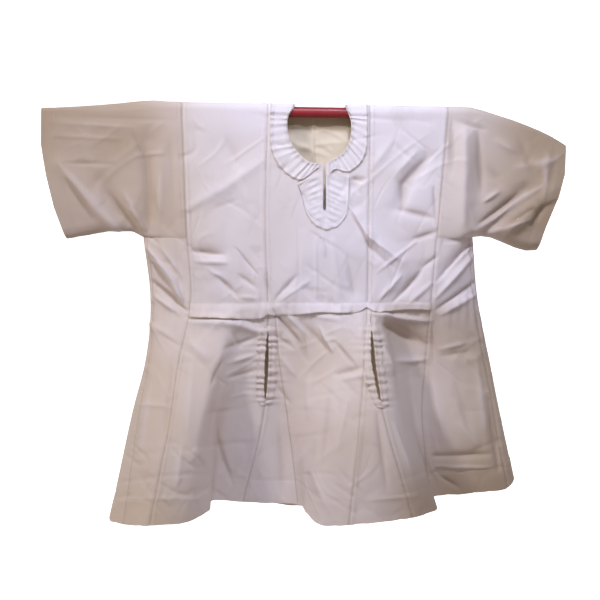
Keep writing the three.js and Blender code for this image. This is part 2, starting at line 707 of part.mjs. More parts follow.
// Front skirt
const skirtRows = { firstRow: waistRow, finalRow: lastRow };
const skirtPanels = [
  { name: 'skirt_left_panel', from: 'leftGoreSeam', to: 'leftPocketSeam', right: leftPocketTrim },
  { name: 'skirt_left_godet', from: 'leftPocketSeam', to: 'leftGodetSeam', left: leftPocketTrim },
  { name: 'skirt_centre_panel', from: 'leftGodetSeam', to: 'rightGodetSeam' },
  { name: 'skirt_right_godet', from: 'rightGodetSeam', to: 'rightPocketSeam', right: rightPocketTrim },
  { name: 'skirt_right_panel', from: 'rightPocketSeam', to: 'rightGoreSeam', left: rightPocketTrim },
];
for (const { name, from, to, left = plainSeam, right = plainSeam } of skirtPanels) {
  const trim = { left, right, top: halfGap };
  add(name, panelGeometry({ from, to, ...skirtRows, trim }), cotton);
}

// Tuck: the doubled cloth stitched down across the front at the waist, its lower edge standing free
const tuckEdge = [
  [-268, -424], [-190, -427], [-110, -425], [-70, -416], [0, -414], [100, -412], [170, -408], [234, -406],
];
const tuckSteps = [
  { share: 0, under: 0.5, thick: 2 },
  { share: 0.35, under: 0.8, thick: 2.4 },
  { share: 0.75, under: 2.2, thick: 2.8 },
  { share: 1, under: 4, thick: 2.6 },
];

function tuckBottom(x) {
  let i = 0;
  while (i < tuckEdge.length - 2 && x > tuckEdge[i + 1][0]) i += 1;
  const [x0, z0] = tuckEdge[i];
  const [x1, z1] = tuckEdge[i + 1];
  return THREE.MathUtils.mapLinear(x, x0, x1, z0, z1);
}

const tuckStations = tuckSteps.map(({ share, under, thick }) => {
  const stations = [];
  const first = columnOf.leftGoreSeam;
  const last = columnOf.rightGoreSeam;
  for (let k = first; k <= last; k += 1) {
    const c = THREE.MathUtils.clamp(k, first + 0.02, last - 0.02);
    const { x } = onTrunk(waistRow, c).point;
    const z = THREE.MathUtils.lerp(tuckTopZ, tuckBottom(x), share);
    stations.push({ place: onTrunk(rowAtHeight(c, z), c), under, top: under + thick });
  }
  return stations;
});
add('waist_tuck', layerGeometry(tuckStations), cotton);

// Neck bands: gathered strips sewn flat round the neck on the centre panel
function bandGeometry(table) {
  const steps = bandWaves * 4;
  const innerEdge = smoothOutline(table.map(([x, z]) => [x, z]), steps);
  const outerEdge = smoothOutline(table.map(([, , x, z]) => [x, z]), steps);
  const shares = [0, 0.2, 0.75, 1];
  return shares.map((share) => innerEdge.map(([x0, z0], i) => {
    const [x1, z1] = outerEdge[i];
    const x = THREE.MathUtils.lerp(x0, x1, share);
    const z = THREE.MathUtils.lerp(z0, z1, share);
    const { r, c } = findOnPanel(x, z, 'leftPocketSeam', 'rightGodetSeam');
    const swell = Math.sin(Math.PI * share);
    const gather = gatherHeight * swell * Math.cos((i / steps) * bandWaves * 2 * Math.PI);
    const overRod = THREE.MathUtils.smoothstep(z, -8, 6);
    const under = layerGap + overRod;
    return { place: onTrunk(r, c), under, top: under + wall + gather };
  }));
}
const leftBand = layerGeometry(bandGeometry(bandTable.left));
const rightBand = layerGeometry(bandGeometry(bandTable.right));
add('neck_band_left', leftBand, trimCotton);
add('neck_band_right', rightBand, trimCotton);

// Placket under the band's cut ends, slit down its middle
const placketStrips = 22;
const placketColumns = [];
const placketTops = smoothOutline(placketTable.map(([x, top]) => [x, top]), placketStrips);
const placketEnds = smoothOutline(placketTable.map(([x, , bottom]) => [x, bottom]), placketStrips);
placketTops.forEach(([xTop, top], i) => {
  const [xEnd, end] = placketEnds[i];
  placketColumns.push({ xTop, top, xEnd, end });
});
const placketShares = [0, 0.1, 0.38, 0.66, 0.92, 1];
const placketStations = placketShares.map((share) => placketColumns.map((strip, i) => {
  const x = THREE.MathUtils.lerp(strip.xTop, strip.xEnd, share);
  const z = THREE.MathUtils.lerp(strip.top, strip.end, share);
  const { r, c } = findOnPanel(x, z, 'leftPocketSeam', 'rightGodetSeam');
  const gather = 0.5 * Math.sin(Math.PI * share) * Math.cos(i * 2.1);
  return { place: onTrunk(r, c), under: layerGap, top: layerGap + 1.6 + gather };
}));
const placket = toManifold(layerGeometry(placketStations)).subtract(cutter(neckSlit));
add('neck_placket', fromManifold(placket), trimCotton);

// Facing turned in behind the back of the neck
const facingShares = [2.1, 3, 3.45, 4, 4.3];
const facingColumns = [];
const facingFrom = findOnPanel(72, -20, 'backRightGoreSeam', 'backLeftGoreSeam').c;
const facingTo = findOnPanel(-70, -20, 'backRightGoreSeam', 'backLeftGoreSeam').c;
const facingStrips = 10;
for (let k = 0; k <= facingStrips; k += 1) {
  facingColumns.push(THREE.MathUtils.lerp(facingFrom, facingTo, k / facingStrips));
}
const facingStations = facingShares.map((r) => facingColumns.map((c) => (
  { place: onTrunk(r, c), top: -wall - seamGap, under: -wall - seamGap - 1.4 }
)));
add('back_neck_facing', layerGeometry(facingStations), trimCotton);

// Gathered bindings round the pocket slits
function bindingGeometry({ top, bottom, seam, lift }) {
  const seamColumn = columnOf[seam];
  const middle = (top + bottom) / 2;
  const reach = (top - bottom) / 2;
  const turns = bindingWaves * 4;
  const stations = [];
  for (const share of [0, 0.3, 0.8, 1]) {
    const row = [];
    for (let k = 0; k < turns; k += 1) {
      const turn = (k / turns) * 2 * Math.PI;
      const wave = Math.cos(turn * bindingWaves);
      const flat = (value, power) => Math.sign(value) * Math.abs(value) ** power;
      const innerS = (pocketSlitHalf + 0.8) * Math.cos(turn);
      const innerZ = middle + (reach + 1) * Math.sin(turn);
      const outerS = (bindingHalfWidth + 1.2 * wave) * flat(Math.cos(turn), 0.35);
      const outerZ = middle + (reach + bindingEndLap + 1.2 * wave) * flat(Math.sin(turn), 0.5);
      const distance = THREE.MathUtils.lerp(innerS, outerS, share);
      const z = THREE.MathUtils.lerp(innerZ, outerZ, share);
      const gather = gatherHeight * Math.sin(Math.PI * share) * wave;
      const place = acrossFromSeam(rowAtHeight(seamColumn, z), seamColumn, distance);
      row.push({ place, under: lift, top: lift + wall + gather });
    }
    stations.push(row);
  }
  return layerGeometry(stations, true);
}
add('left_pocket_binding', bindingGeometry(leftPocket), trimCotton);
add('right_pocket_binding', bindingGeometry(rightPocket), trimCotton);

// Sleeves: one piece each, folded over the rod and closed along the underside
function interpolated(table, key, along) {
  let i = 0;
  while (i < table.length - 2 && along > table[i + 1].along) i += 1;
  const share = (along - table[i].along) / (table[i + 1].along - table[i].along);
  return THREE.MathUtils.lerp(table[i][key], table[i + 1][key], share);
}

// Forward depth of the underarm seam at x, read off the gore's top edge
function underarmDepth(x, columns) {
  for (let k = 0; k < columns.length - 1; k += 1) {
    const a = grid[underarmRow][columns[k]];
    const b = grid[underarmRow][columns[k + 1]];
    if ((a.x - x) * (b.x - x) <= 0) return THREE.MathUtils.mapLinear(x, a.x, b.x, a.y, b.y);
  }
  return 0;
}

const columnRange = (first, last) => {
  const result = [];
  const step = last > first ? 1 : -1;
  for (let c = first; c !== last + step; c += step) result.push((c + columnCount) % columnCount);
  return result;
};

function cuffX(side, share) {
  const table = cuffTable[side].x;
  const place = share * (table.length - 1);
  const i = Math.min(Math.floor(place), table.length - 2);
  return THREE.MathUtils.lerp(table[i], table[i + 1], place - i);
}

function sleeveGeometry(side) {
  const table = sleeveTable[side];
  const isLeft = side === 'left';
  const seams = {
    front: columnOf[isLeft ? 'leftGoreSeam' : 'rightGoreSeam'],
    back: columnOf[isLeft ? 'backLeftGoreSeam' : 'backRightGoreSeam'],
  };
  const goreColumns = {
    front: isLeft ? columnRange(columnOf.leftGoreSeam, 0)
      : columnRange(columnOf.rightGoreSeam, columnOf.rightFold),
    back: isLeft ? columnRange(columnOf.backLeftGoreSeam, columnCount)
      : columnRange(columnOf.backRightGoreSeam, columnOf.rightFold),
  };
  // Ring of samples: up the front, over the fold, down the back
  const down = [
    ...archAngles.slice(1).map((angle) => ({ angle })),
    { share: 0 },
    ...sleeveShares.map((share) => ({ share })),
  ];
  const ring = [
    ...down.slice().reverse().map((sample) => ({ ...sample, face: 'front' })),
    { angle: 90, face: 'front' },
    ...down.map((sample) => ({ ...sample, face: 'back' })),
  ];
  const seamPoint = ({ angle, share, face }) => {
    if (angle !== undefined) {
      return grid[archAngles.indexOf(angle)][seams[face]].clone();
    }
    let k = 0;
    while (k < bodiceShares.length - 1 && share > bodiceShares[k + 1]) k += 1;
    const upper = bodiceShares[k];
    const lower = bodiceShares[k + 1] ?? 1;
    return grid[shoulderRow + k][seams[face]].clone()
      .lerp(grid[shoulderRow + k + 1][seams[face]], (share - upper) / (lower - upper));
  };
  const outer = table.map(({ along }) => ring.map((sample) => {
    const start = seamPoint(sample);
    if (along === 0) return start;
    const top = interpolated(table, 'top', along);
    const bottom = interpolated(table, 'bottom', along);
    const half = interpolated(table, 'half', along);
    const rise = THREE.MathUtils.lerp(archRise, 9, THREE.MathUtils.smoothstep(along, 0.2, 0.9));
    const sign = sample.face === 'front' ? -1 : 1;
    const belly = cuffTable[side][sample.face === 'front' ? 'frontBelly' : 'backBelly'];
    const drop = sample.share ?? 0;
    const x = THREE.MathUtils.lerp(start.x, cuffX(side, drop), along);
    const centre = archCentreY * (1 - along);
    const shoulder = top - rise;
    if (sample.angle !== undefined) {
      const turn = THREE.MathUtils.degToRad(sample.angle);
      const y = centre + sign * half * Math.cos(turn);
      return new THREE.Vector3(x, y, shoulder + rise * Math.sin(turn));
    }
    const z = THREE.MathUtils.lerp(shoulder, bottom, drop);
    const swell = Math.sin(Math.PI * Math.min(1, drop * 0.72));
    const loose = half + (belly - half) * swell;
    const depth = THREE.MathUtils.lerp(Math.abs(start.y - centre), loose, Math.min(1, along * 1.3));
    const edge = Math.abs(underarmDepth(x, goreColumns[sample.face]));
    const open = along < closingShare && drop > 0.5 ? edge : 0;
    const past = THREE.MathUtils.clamp((drop - bottomRoundFrom) / (1 - bottomRoundFrom), 0, 1);
    const round = Math.sqrt(1 - past * past);
    const kept = open + (depth - open) * round;
    const centred = drop < 0.5 ? centre : centre * (1 - (drop - 0.5) * 2);
    return crease(new THREE.Vector3(x, centred + sign * kept, z));
  }));
  const normals = gridNormals(outer, false);
  if (isLeft) normals.forEach((row) => row.forEach((normal) => normal.negate()));
  const last = ring.length - 1;
  normals.forEach((row, i) => {
    const openness = Math.max(0, 1 - table[i].along / closingShare);
    row[0].y *= openness;
    row[last].y *= openness;
    row[0].normalize();
    row[last].normalize();
  });
  const inner = offsetPoints(outer, normals, -wall);
  inner.forEach((row, i) => {
    for (const c of [0, last]) row[c].z = Math.max(row[c].z, outer[i][c].z);
  });
  const trim = { top: halfGap, left: plainSeam, right: plainSeam };
  const faces = [trimmed(outer, trim), trimmed(inner, trim)];
  const oriented = isLeft ? faces.map((rows) => rows.map((row) => row.slice().reverse())) : faces;
  return closeWall(oriented[0], oriented[1]);
}
add('left_sleeve', sleeveGeometry('left'), sleeveCotton);
add('right_sleeve', sleeveGeometry('right'), sleeveCotton);

export default group;
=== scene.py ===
# Fugu smock on its rod: creased cotton panels, gathered trims, stitches and red lacquer, built round
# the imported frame. Tables and cloth grids are in millimetres; meshes are made in metres.
import math

import bpy
import numpy as np
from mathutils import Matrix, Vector
from mathutils.bvhtree import BVHTree
from mathutils.kdtree import KDTree


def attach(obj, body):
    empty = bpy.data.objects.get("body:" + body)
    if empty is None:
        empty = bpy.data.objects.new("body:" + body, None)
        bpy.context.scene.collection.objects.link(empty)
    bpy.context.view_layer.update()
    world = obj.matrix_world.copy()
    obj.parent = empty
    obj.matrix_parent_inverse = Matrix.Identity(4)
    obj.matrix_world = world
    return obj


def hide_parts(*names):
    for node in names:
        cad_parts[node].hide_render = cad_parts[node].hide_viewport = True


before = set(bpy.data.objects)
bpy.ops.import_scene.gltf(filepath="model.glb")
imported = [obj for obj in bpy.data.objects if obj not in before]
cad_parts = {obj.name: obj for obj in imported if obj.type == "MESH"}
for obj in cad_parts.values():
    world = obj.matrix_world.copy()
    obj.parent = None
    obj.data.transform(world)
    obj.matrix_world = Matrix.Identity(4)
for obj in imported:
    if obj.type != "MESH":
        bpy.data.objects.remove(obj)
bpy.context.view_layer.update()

MM = 0.001

# Cloth and how finely it is divided
CLOTH = 0.9
ROW_PITCH = 3.6
FRONT_PITCH = 3.8
BACK_PITCH = 6.5
SEAM_NEAR = 1.3
SEAM_FAR = 3.4

# Rod and the fold of the cloth over it
ROD_RADIUS = 11
ROD_LEFT = -335
ROD_RIGHT = 318
ROD_FALL = 0.0175
ROD_EASE = 2.5
ARCH_RISE = 17
ARCH_HALF = 14.9
ARCH_Y = 1.3
ARCH_ANGLES = (90, 75, 60, 45, 30, 15)

# Heights of the tailor's levels below the rod's axis
LEVELS = ("shoulder", "underarm", "waist", "high", "low", "hem")
UNDERARM = -258
WAIST = -395
HIGH = -523
LOW = -613
MEAN_HEM = -822
LEVEL_HEIGHTS = (0, UNDERARM, WAIST, HIGH, LOW)
TUCK_TOP = -391

# How deep the finer creases and the general unevenness are
CREASE_GAIN = 2.3
RUMPLE_GAIN = 1.3

# Eye of the front view
EYE = np.array((-38.0, -2585.8, -118.0))
EYE_TILT = 84
EYE_LENS = 74.286

# Neck slit, pocket slits, gathers, turned-up edges, the grey and stitches beside seams, and the crease
# height that gives full painted crease shade and highlight
NECK_SLIT_X = 12.5
NECK_SLIT_HALF = 3.2
NECK_SLIT_BOTTOM = -203
POCKET_SLIT_HALF = 4.5
BINDING_HALF = 24
BINDING_WAVES = 20
HEM_DEPTH = 50
CUFF_DEPTH = 24
SEAM_SHADE = 1.1
CREASE_SHADING_HEIGHT = 5
STITCH_LIFT = 0.25
FELLED_ROWS = (2.2, 9)

# Fold lines down the cloth, in order round the body: x and forward depth at the lowest levels, as many
# as there are spots, and at the hem its height too
FOLD_SPOTS = {
    "left_fold": ((-365.2, 0), (-352, 0), (-363, 15), (-383, 30), (-431, 85, -839)),
    "left_side_seam": ((-357, 10), (-346, 11), (-355, 30), (-370, 55), (-400, 118, -838)),
    "left_gore_crest": ((-325, 20), (-309, 24), (-325, 58), (-335, 90), (-365, 145, -834)),
    "left_gore_seam": ((-281, 13.6), (-272, 24), (-266, 29), (-291, 70), (-302, 105), (-342, 150, -833)),
    "left_lobe_brow": ((-173, 30), (-212, 76), (-235, 110), (-266, 130, -829)),
    "left_lobe_turn": ((-142, 30), (-187, 50), (-213, 72), (-227, 92, -818)),
    "recess_left": ((-123, 30), (-153, 34), (-187, 34), (-222, 26, -813)),
    "left_pocket_seam": ((-105, 13.6), (-110, 25), (-105, 30), (-108, 30), (-113, 28), (-159, 20, -819)),
    "left_godet_seam": ((-92, 30), (-81, 28), (-68, 26), (-42, 30, -821)),
    "centre_lobe_turn": ((-17, 30), (-1, 40), (-21, 55), (-24, 95, -821)),
    "centre_lobe_brow": ((24, 31), (40, 66), (13, 100), (6, 150, -830)),
    "right_godet_seam": ((106, 13.6), (103, 25), (101, 31), (92, 84), (83, 124), (60, 165, -827)),
    "right_pocket_seam": ((109, 31), (114, 86), (132, 120), (190, 148, -816)),
    "right_lobe_brow": ((128, 30), (147, 70), (162, 100), (220, 130, -813)),
    "right_lobe_turn": ((145, 28), (164, 32), (180, 58), (245, 90, -812)),
    "recess_right": ((170, 27), (190, 10), (199, 12), (239, 42, -810)),
    "right_gore_seam": ((266, 13.6), (245, 24), (234, 28), (225, 13), (219, 10), (240, 14, -809)),
    "right_gore_crest": ((290, 20), (278, 25), (286, 28), (292, 32), (330, 24, -797)),
    "right_side_seam": ((315, 10), (326, 10), (350, 12), (368, 13), (403, 13, -790)),
    "right_fold": ((322.3, 0), (336, 0), (363, 0), (382, 0), (419, -2, -774)),
    "back_right_fold": ((315, -8), (328, -10), (354, -16), (372, -22), (408, -38, -788)),
    "back_right_gore_seam": ((266, -16.2), (245, -21), (234, -25), (244, -40),
                             (256, -55), (290, -84, -812)),
    "back_right_lobe": ((165, -26), (170, -56), (178, -75), (205, -112, -828)),
    "back_right_inner": ((90, -26), (88, -40), (92, -50), (105, -72, -835)),
    "back_centre_seam": ((-10, -16.2), (-10, -22), (-10, -26), (-10, -25), (-10, -25), (-8, -27, -840)),
    "back_left_inner": ((-110, -26), (-108, -38), (-112, -48), (-118, -60, -840)),
    "back_left_lobe": ((-185, -26), (-195, -54), (-205, -74), (-235, -110, -840)),
    "back_left_gore_seam": ((-281, -16.2), (-272, -21), (-266, -25), (-280, -42),
                            (-292, -58), (-330, -88, -841)),
    "back_left_fold": ((-356, -8), (-346, -10), (-362, -9), (-386, -12), (-425, -20, -842)),
}
FOLD_LINES = {name: dict(zip(LEVELS[-len(spots):], spots)) for name, spots in FOLD_SPOTS.items()}
LINE_NAMES = list(FOLD_LINES)
SEAM_LINES = ("left_side_seam", "left_gore_seam", "left_pocket_seam", "left_godet_seam",
              "right_godet_seam", "right_pocket_seam", "right_gore_seam", "right_side_seam",
              "back_right_gore_seam", "back_centre_seam", "back_left_gore_seam")

# Broad creases that the solids share: two ends (x, z), half width and height
BROAD_FRONT = (
    ((82, -212), (107, -252), 14, 4), ((107, -252), (172, -306), 15, 4),
    ((160, -196), (224, -92), 17, -4), ((214, -323), (157, -386), 14, -3.5),
    ((-258, -284), (-190, -286), 14, -3), ((-352, -30), (-352, -240), 15, -5),
    ((-450, -140), (-384, -240), 14, -4), ((-530, -108), (-430, -236), 20, 5),
    ((-360, -290), (-290, -380), 12, 4), ((305, -20), (302, -244), 20, 7),
    ((345, -244), (425, -160), 15, -8), ((393, -240), (480, -160), 17, 8),
    ((322, -268), (262, -322), 13, -4),
)
BROAD_BACK = (
    ((-330, -60), (-345, -240), 18, 5), ((-470, -70), (-420, -230), 20, 4),
    ((-180, -150), (-120, -330), 20, 3), ((90, -140), (150, -330), 20, 3),
    ((320, -60), (300, -236), 18, 5), ((400, -80), (440, -240), 20, 5),
)

# How the photo was read: enlarged 2.5 times, and taken as a view of a point from a distance,
# some degrees down, where its 600 pixels span 1260 mm
PHOTO_ENLARGED = 2.5
PHOTO_PIXELS = 600
PHOTO_SPAN = 1260
PHOTO_TARGET_X = -38
PHOTO_TARGET_Z = -390
PHOTO_DISTANCE = 2600
PHOTO_FALL = 6

# Creases of the front: half width and height in millimetres, then the path's places in pixels of the
# enlarged photo; troughs are negative
LEFT_SLEEVE_CREASES = (
    (7, 1.6, 118, 303, 330, 318),
    (6, -1.8, 130, 290, 440, 300),
    (6, 1.2, 130, 338, 300, 347),
    (8, -3.5, 330, 340, 368, 400, 372, 470, 370, 580),
    (9, 2, 402, 410, 398, 560),
    (15, 4, 150, 410, 240, 520, 312, 590),
    (12, -3, 165, 450, 235, 545),
    (6, -5, 270, 480, 345, 585),
    (9, 3, 312, 480, 362, 575),
    (3, 1.6, 345, 388, 412, 382),
    (4, -1.6, 155, 408, 285, 410),
    (12, -1.5, 420, 330, 440, 560),
)
BODICE_CREASES = (
    (22, 2.5, 470, 520, 560, 470, 660, 400),
    (7, -3.4, 482, 628, 560, 636),
    (6, 2.6, 492, 652, 566, 656),
    (4, -2.2, 590, 620, 642, 686),
    (9, -3.2, 545, 690, 592, 738),
    (7, 2, 520, 672, 565, 700),
    (8, -2.6, 600, 690, 640, 720),
    (6, 1.8, 646, 745, 600, 742),
    (7, -2.4, 690, 745, 742, 690),
    (5, 1.6, 700, 752, 775, 700),
    (6, -2, 676, 745, 664, 690),
    (5, -2.6, 620, 280, 700, 296),
    (18, -1.6, 560, 330, 600, 420),
    (16, 1.6, 600, 460, 640, 560),
    (3, -0.9, 745, 540, 747, 745),
    (4, 1, 788, 600, 792, 742),
    (12, 1.6, 830, 600, 850, 730),
    (10, -1.8, 870, 640, 885, 740),
    (8, -1.6, 750, 470, 770, 520),
    (6, 1.4, 805, 590, 812, 640),
    (4, 2.4, 868, 505, 922, 592, 997, 648),
    (8, -1.8, 880, 540, 925, 620, 985, 670),
    (14, -4.5, 1066, 400, 1008, 462, 1006, 520),
    (10, 1.8, 1040, 380, 985, 440),
    (11, -3, 1000, 525, 1082, 545),
    (7, -2.6, 1035, 596, 1092, 580),
    (4, 1.6, 1042, 602, 942, 680),
    (6, -4, 985, 752, 1052, 680),
    (7, 2.4, 948, 748, 1002, 690),
    (6, -2.6, 1058, 668, 1094, 640),
    (6, 2.4, 1020, 760, 1080, 706),
    (12, 1.6, 950, 600, 975, 700),
    (6, -1.8, 895, 292, 1010, 300),
    (16, 1.5, 930, 420, 980, 350),
    (7, -2, 1085, 470, 1092, 560),
    (4, -2.4, 880, 446, 908, 452),
)
RIGHT_SLEEVE_CREASES = (
    (13, 4.5, 1163, 330, 1160, 560),
    (7, -3.2, 1128, 290, 1130, 430),
    (7, -3, 1140, 300, 1212, 324),
    (9, -3.4, 1196, 330, 1204, 480),
    (5, 3, 1210, 504, 1246, 478),
    (12, -2.2, 1222, 418, 1262, 470),
    (8, 4, 1190, 576, 1300, 500, 1352, 468),
    (6, -3.4, 1200, 558, 1292, 488),
    (9, 3.2, 1216, 584, 1330, 546),
    (6, -3, 1250, 574, 1335, 520),
    (6, -3.4, 1330, 562, 1366, 512),
    (14, 2, 1290, 420, 1390, 400),
    (14, -2.4, 1300, 350, 1340, 440),
    (8, 2, 1370, 380, 1360, 500),
    (10, 2, 1240, 350, 1290, 380),
)
GORE_CREASES = (
    (8, 4, 368, 618, 430, 700, 462, 766),
    (7, -3.6, 372, 650, 432, 728),
    (6, -4.4, 384, 706, 472, 778),
    (7, 3, 388, 740, 458, 790),
    (7, 2.4, 400, 610, 455, 690),
    (3, -0.9, 442, 595, 450, 740),
    (12, 1.4, 360, 800, 440, 850),
    (8, 3.6, 1092, 742, 1182, 640),
    (6, -3, 1092, 700, 1176, 608),
    (6, -4, 1092, 772, 1192, 702),
    (7, 3, 1102, 786, 1190, 736),
    (5, 2, 1120, 676, 1182, 612),
    (6, -1.6, 1110, 604, 1180, 596),
)
SKIRT_CREASES = (
    (15, 5, 485, 805, 600, 812, 662, 834),
    (16, 1.8, 470, 850, 520, 900),
    (6, -3.8, 682, 776, 745, 850, 768, 902),
    (7, 2.6, 704, 772, 764, 834),
    (10, -2.4, 745, 800, 820, 874),
    (4, -2, 760, 832, 768, 896),
    (6, 3, 800, 820, 832, 878),
    (3, 1.8, 810, 852, 840, 847),
    (5, -3, 840, 858, 888, 915),
    (7, -3, 838, 935, 912, 915),
    (6, 2, 850, 950, 916, 938),
    (6, 1.6, 790, 790, 850, 800),
    (9, 4.4, 930, 784, 1072, 802),
    (22, -6, 955, 806, 1062, 862),
    (9, 2.6, 990, 902, 1066, 898),
    (7, 2.4, 960, 870, 985, 930),
    (7, -2, 1080, 810, 1085, 900),
    (8, -2.4, 560, 872, 642, 842),
    (6, 2, 570, 908, 645, 884),
    (6, -2, 575, 944, 640, 926),
    (6, -2, 690, 840, 735, 870),
    (8, 1.8, 700, 890, 740, 940),
    (7, -2, 690, 960, 725, 1010),
    (5, -3, 545, 1075, 560, 1150, 582, 1212),
    (9, -2.4, 530, 960, 560, 900),
    (16, 2.2, 480, 900, 470, 1080),
    (12, -1.8, 430, 900, 410, 1100),
    (6, 1.2, 350, 1010, 432, 1016),
    (14, 1.6, 380, 930, 350, 1150),
    (12, 1.8, 455, 1120, 440, 1230),
    (10, 1.4, 640, 1060, 625, 1240),
    (14, -1.8, 700, 1060, 705, 1240),
    (9, 1.2, 300, 1250, 500, 1246),
    (12, 2.4, 775, 940, 770, 1040),
    (16, -2, 820, 980, 800, 1180),
    (8, 1.8, 870, 1000, 848, 1110),
    (9, 1.4, 900, 1060, 880, 1230),
    (10, -2, 945, 1040, 968, 1220),
    (7, 1.6, 985, 1060, 1030, 1190),
    (8, -2, 1040, 1090, 1075, 1190),
    (8, -1.6, 900, 950, 960, 1010),
    (12, 1.8, 780, 1180, 830, 1290),
    (8, 1.2, 860, 1250, 1060, 1240),
    (5, 1.8, 1100, 872, 1172, 855),
    (8, -1.6, 1105, 890, 1170, 880),
    (14, 2, 1080, 930, 1110, 1090),
    (18, -2, 1140, 960, 1180, 1090),
    (14, 2.2, 1190, 900, 1215, 1080),
    (10, -3.2, 1086, 1140, 1222, 1136),
    (4, 2, 1090, 1166, 1232, 1168),
    (10, -3.4, 1222, 1000, 1246, 1172),
    (8, -1.8, 1100, 1190, 1150, 1220),
    (10, 1.8, 1150, 1060, 1200, 1120),
)
# Creases of the back: half width and height, then the path's x and z
BACK_CREASES = (
    (8, -2, -560, -40, -400, -60, -310, -50),
    (13, 3.6, -530, -90, -455, -190, -400, -250),
    (7, -3.6, -500, -130, -440, -225),
    (9, -3, -372, -60, -362, -240),
    (10, -1.8, -300, -90, -292, -240),
    (16, 2.2, -240, -60, -190, -150, -170, -260),
    (7, -2.8, -225, -180, -150, -290),
    (12, -2, -150, -110, -70, -210),
    (9, 2.6, -90, -300, -40, -390, -44, -480),
    (8, 2.6, -250, -330, -160, -400),
    (7, -3, -262, -380, -150, -440),
    (9, -1.6, -60, -60, 20, -90),
    (14, 2.2, 60, -70, 120, -170, 130, -280),
    (8, -2.8, 170, -80, 225, -200),
    (8, -2.6, 40, -220, 90, -330, 80, -420),
    (8, 2.8, 225, -330, 120, -410),
    (7, -2.8, 240, -300, 160, -385),
    (9, -3, 290, -40, 298, -230),
    (11, 3.2, 335, -60, 352, -240),
    (8, -3.6, 350, -240, 430, -150),
    (8, 3.2, 380, -250, 470, -170),
    (8, 3, -330, -300, -290, -400),
    (7, -3.4, -345, -360, -290, -440),
    (8, 3, 250, -390, 315, -290),
    (7, -3.2, 255, -430, 325, -350),
    (12, -3, -150, -520, -165, -760),
    (13, 2.6, -60, -470, -66, -640, -50, -800),
    (12, -2.4, 30, -500, 38, -790),
    (12, -3, 130, -520, 150, -780),
    (11, 2.2, 210, -480, 235, -700),
    (11, 2.2, -250, -500, -275, -720),
    (12, -2.4, -340, -520, -372, -760),
    (12, -2.4, 320, -500, 352, -720),
    (7, -2, -20, -420, 70, -450),
    (6, 1.4, -230, -620, -170, -640),
    (6, 1.4, 90, -640, 170, -625),
)

# Sleeves: share along the sleeve, height of its top and bottom folds, and half depth there
SLEEVES = {
    "left": ((0, 22, -258, 14.9), (0.1, 23, -258, 14.9), (0.2, 25, -258, 14.9), (0.28, 24, -258, 13),
             (0.37, 21.5, -258, 11), (0.45, 19, -247, 10), (0.55, 16.5, -244, 9),
             (0.67, 14, -246, 8), (0.78, 12, -251, 7.5), (0.89, 10.5, -256, 7), (1, 9, -260, 7)),
    "right": ((0, 12.3, -258, 14.9), (0.1, 12, -258, 15.4), (0.2, 10.5, -258, 16),
              (0.28, 6, -258, 15), (0.37, -1, -258, 12), (0.45, -7.5, -256, 11),
              (0.55, -15, -259, 10), (0.67, -26, -269, 9), (0.78, -37, -279, 9),
              (0.89, -50, -286, 10), (1, -67, -285, 11)),
}
# Cuffs: x at the top fold, at quarter heights and at the bottom fold, then front and back belly
CUFFS = {
    "left": ((-572, -573, -563, -548, -525), 15, 13),
    "right": ((511, 508, 492, 471, 454), 30, 26),
}
# Share of a sleeve's length that closes onto the gores, share of its drop where its underside begins to
# round, steps along it, and the column of its grid that lengths are taken on
CLOSING_SHARE = 0.37
BOTTOM_ROUND_FROM = 0.9
SLEEVE_STEPS = 56
FRONT_COLUMN = 20

# Neck opening: its sides at the rod, the height of its back edge, a height above the whole smock, the
# height over which the cut keeps to its rows, and x and z along its edge from left to right
NECK_LEFT = -48
NECK_RIGHT = 55
BACK_NECK_DEPTH = 9.9
ABOVE_ROD = 60
ROD_SIDE = -4
NECK_EDGE = ((NECK_LEFT, 13), (-62, -10), (-64, -24), (-62, -43), (-53, -67), (-35, -89), (-20, -100),
             (3, -105), (15, -104), (37, -92), (58, -73), (66, -49), (67, -24), (64, -10), (NECK_RIGHT, 12))
# Neck bands: x and z on the inner edge, then on the outer edge
BANDS = {
    "left": ((-49, 13.5, -98, 14.5), (-63, -10, -99, -8), (-65, -24, -100, -27),
             (-63, -43, -100, -50), (-54, -68, -98, -74), (-45, -80, -90, -97),
             (-36, -90, -73, -120), (-21, -101, -55, -133), (-9, -105, -37, -139),
             (2, -106, 0, -113)),
    "right": ((22, -103, 24, -126), (30, -98, 36, -117), (40, -91, 61, -123), (49, -83, 74, -116),
              (59, -73, 85, -107), (64, -62, 94, -93), (67, -49, 100, -73), (68, -30, 101, -47),
              (68, -16, 101, -22), (65, -6, 101, -6), (56, 12, 101, 13)),
}
# Placket: x, height of its top edge and of its bottom edge
PLACKET = ((-43, -146, -149), (-39, -144.5, -156), (-35, -142.5, -172), (-28, -137.5, -200),
           (-16, -129, -222), (-5, -121.5, -232), (8, -117, -239), (17, -128, -241),
           (25, -130, -240), (36, -121.5, -236.5), (48, -126, -227), (57, -129, -212),
           (62, -131, -187), (64.5, -134, -150))
POCKETS = {
    "left": {"top": -450, "bottom": -600, "seam": "left_pocket_seam"},
    "right": {"top": -446, "bottom": -590, "seam": "right_pocket_seam"},
}
# Seams that pinch the tuck, and its lower edge: x and z
TUCK_PINCHES = ("left_pocket_seam", "right_godet_seam")
TUCK_EDGE = ((-268, -424), (-190, -427), (-110, -425), (-70, -416), (0, -414), (100, -412),
             (170, -408), (234, -406))


# Smooth steps, curves and noise

def smooth_step(value, low, high):
    """Rises smoothly from 0 at low to 1 at high"""
    share = np.clip((value - low) / (high - low), 0, 1)
    return share * share * (3 - 2 * share)


def blend(a, b, share):
    """a at share 0, b at share 1"""
    return a + (b - a) * share


def bell(value, width):
    """1 at zero, fading smoothly over a width to either side"""
    return np.exp(-((value / width) ** 2))


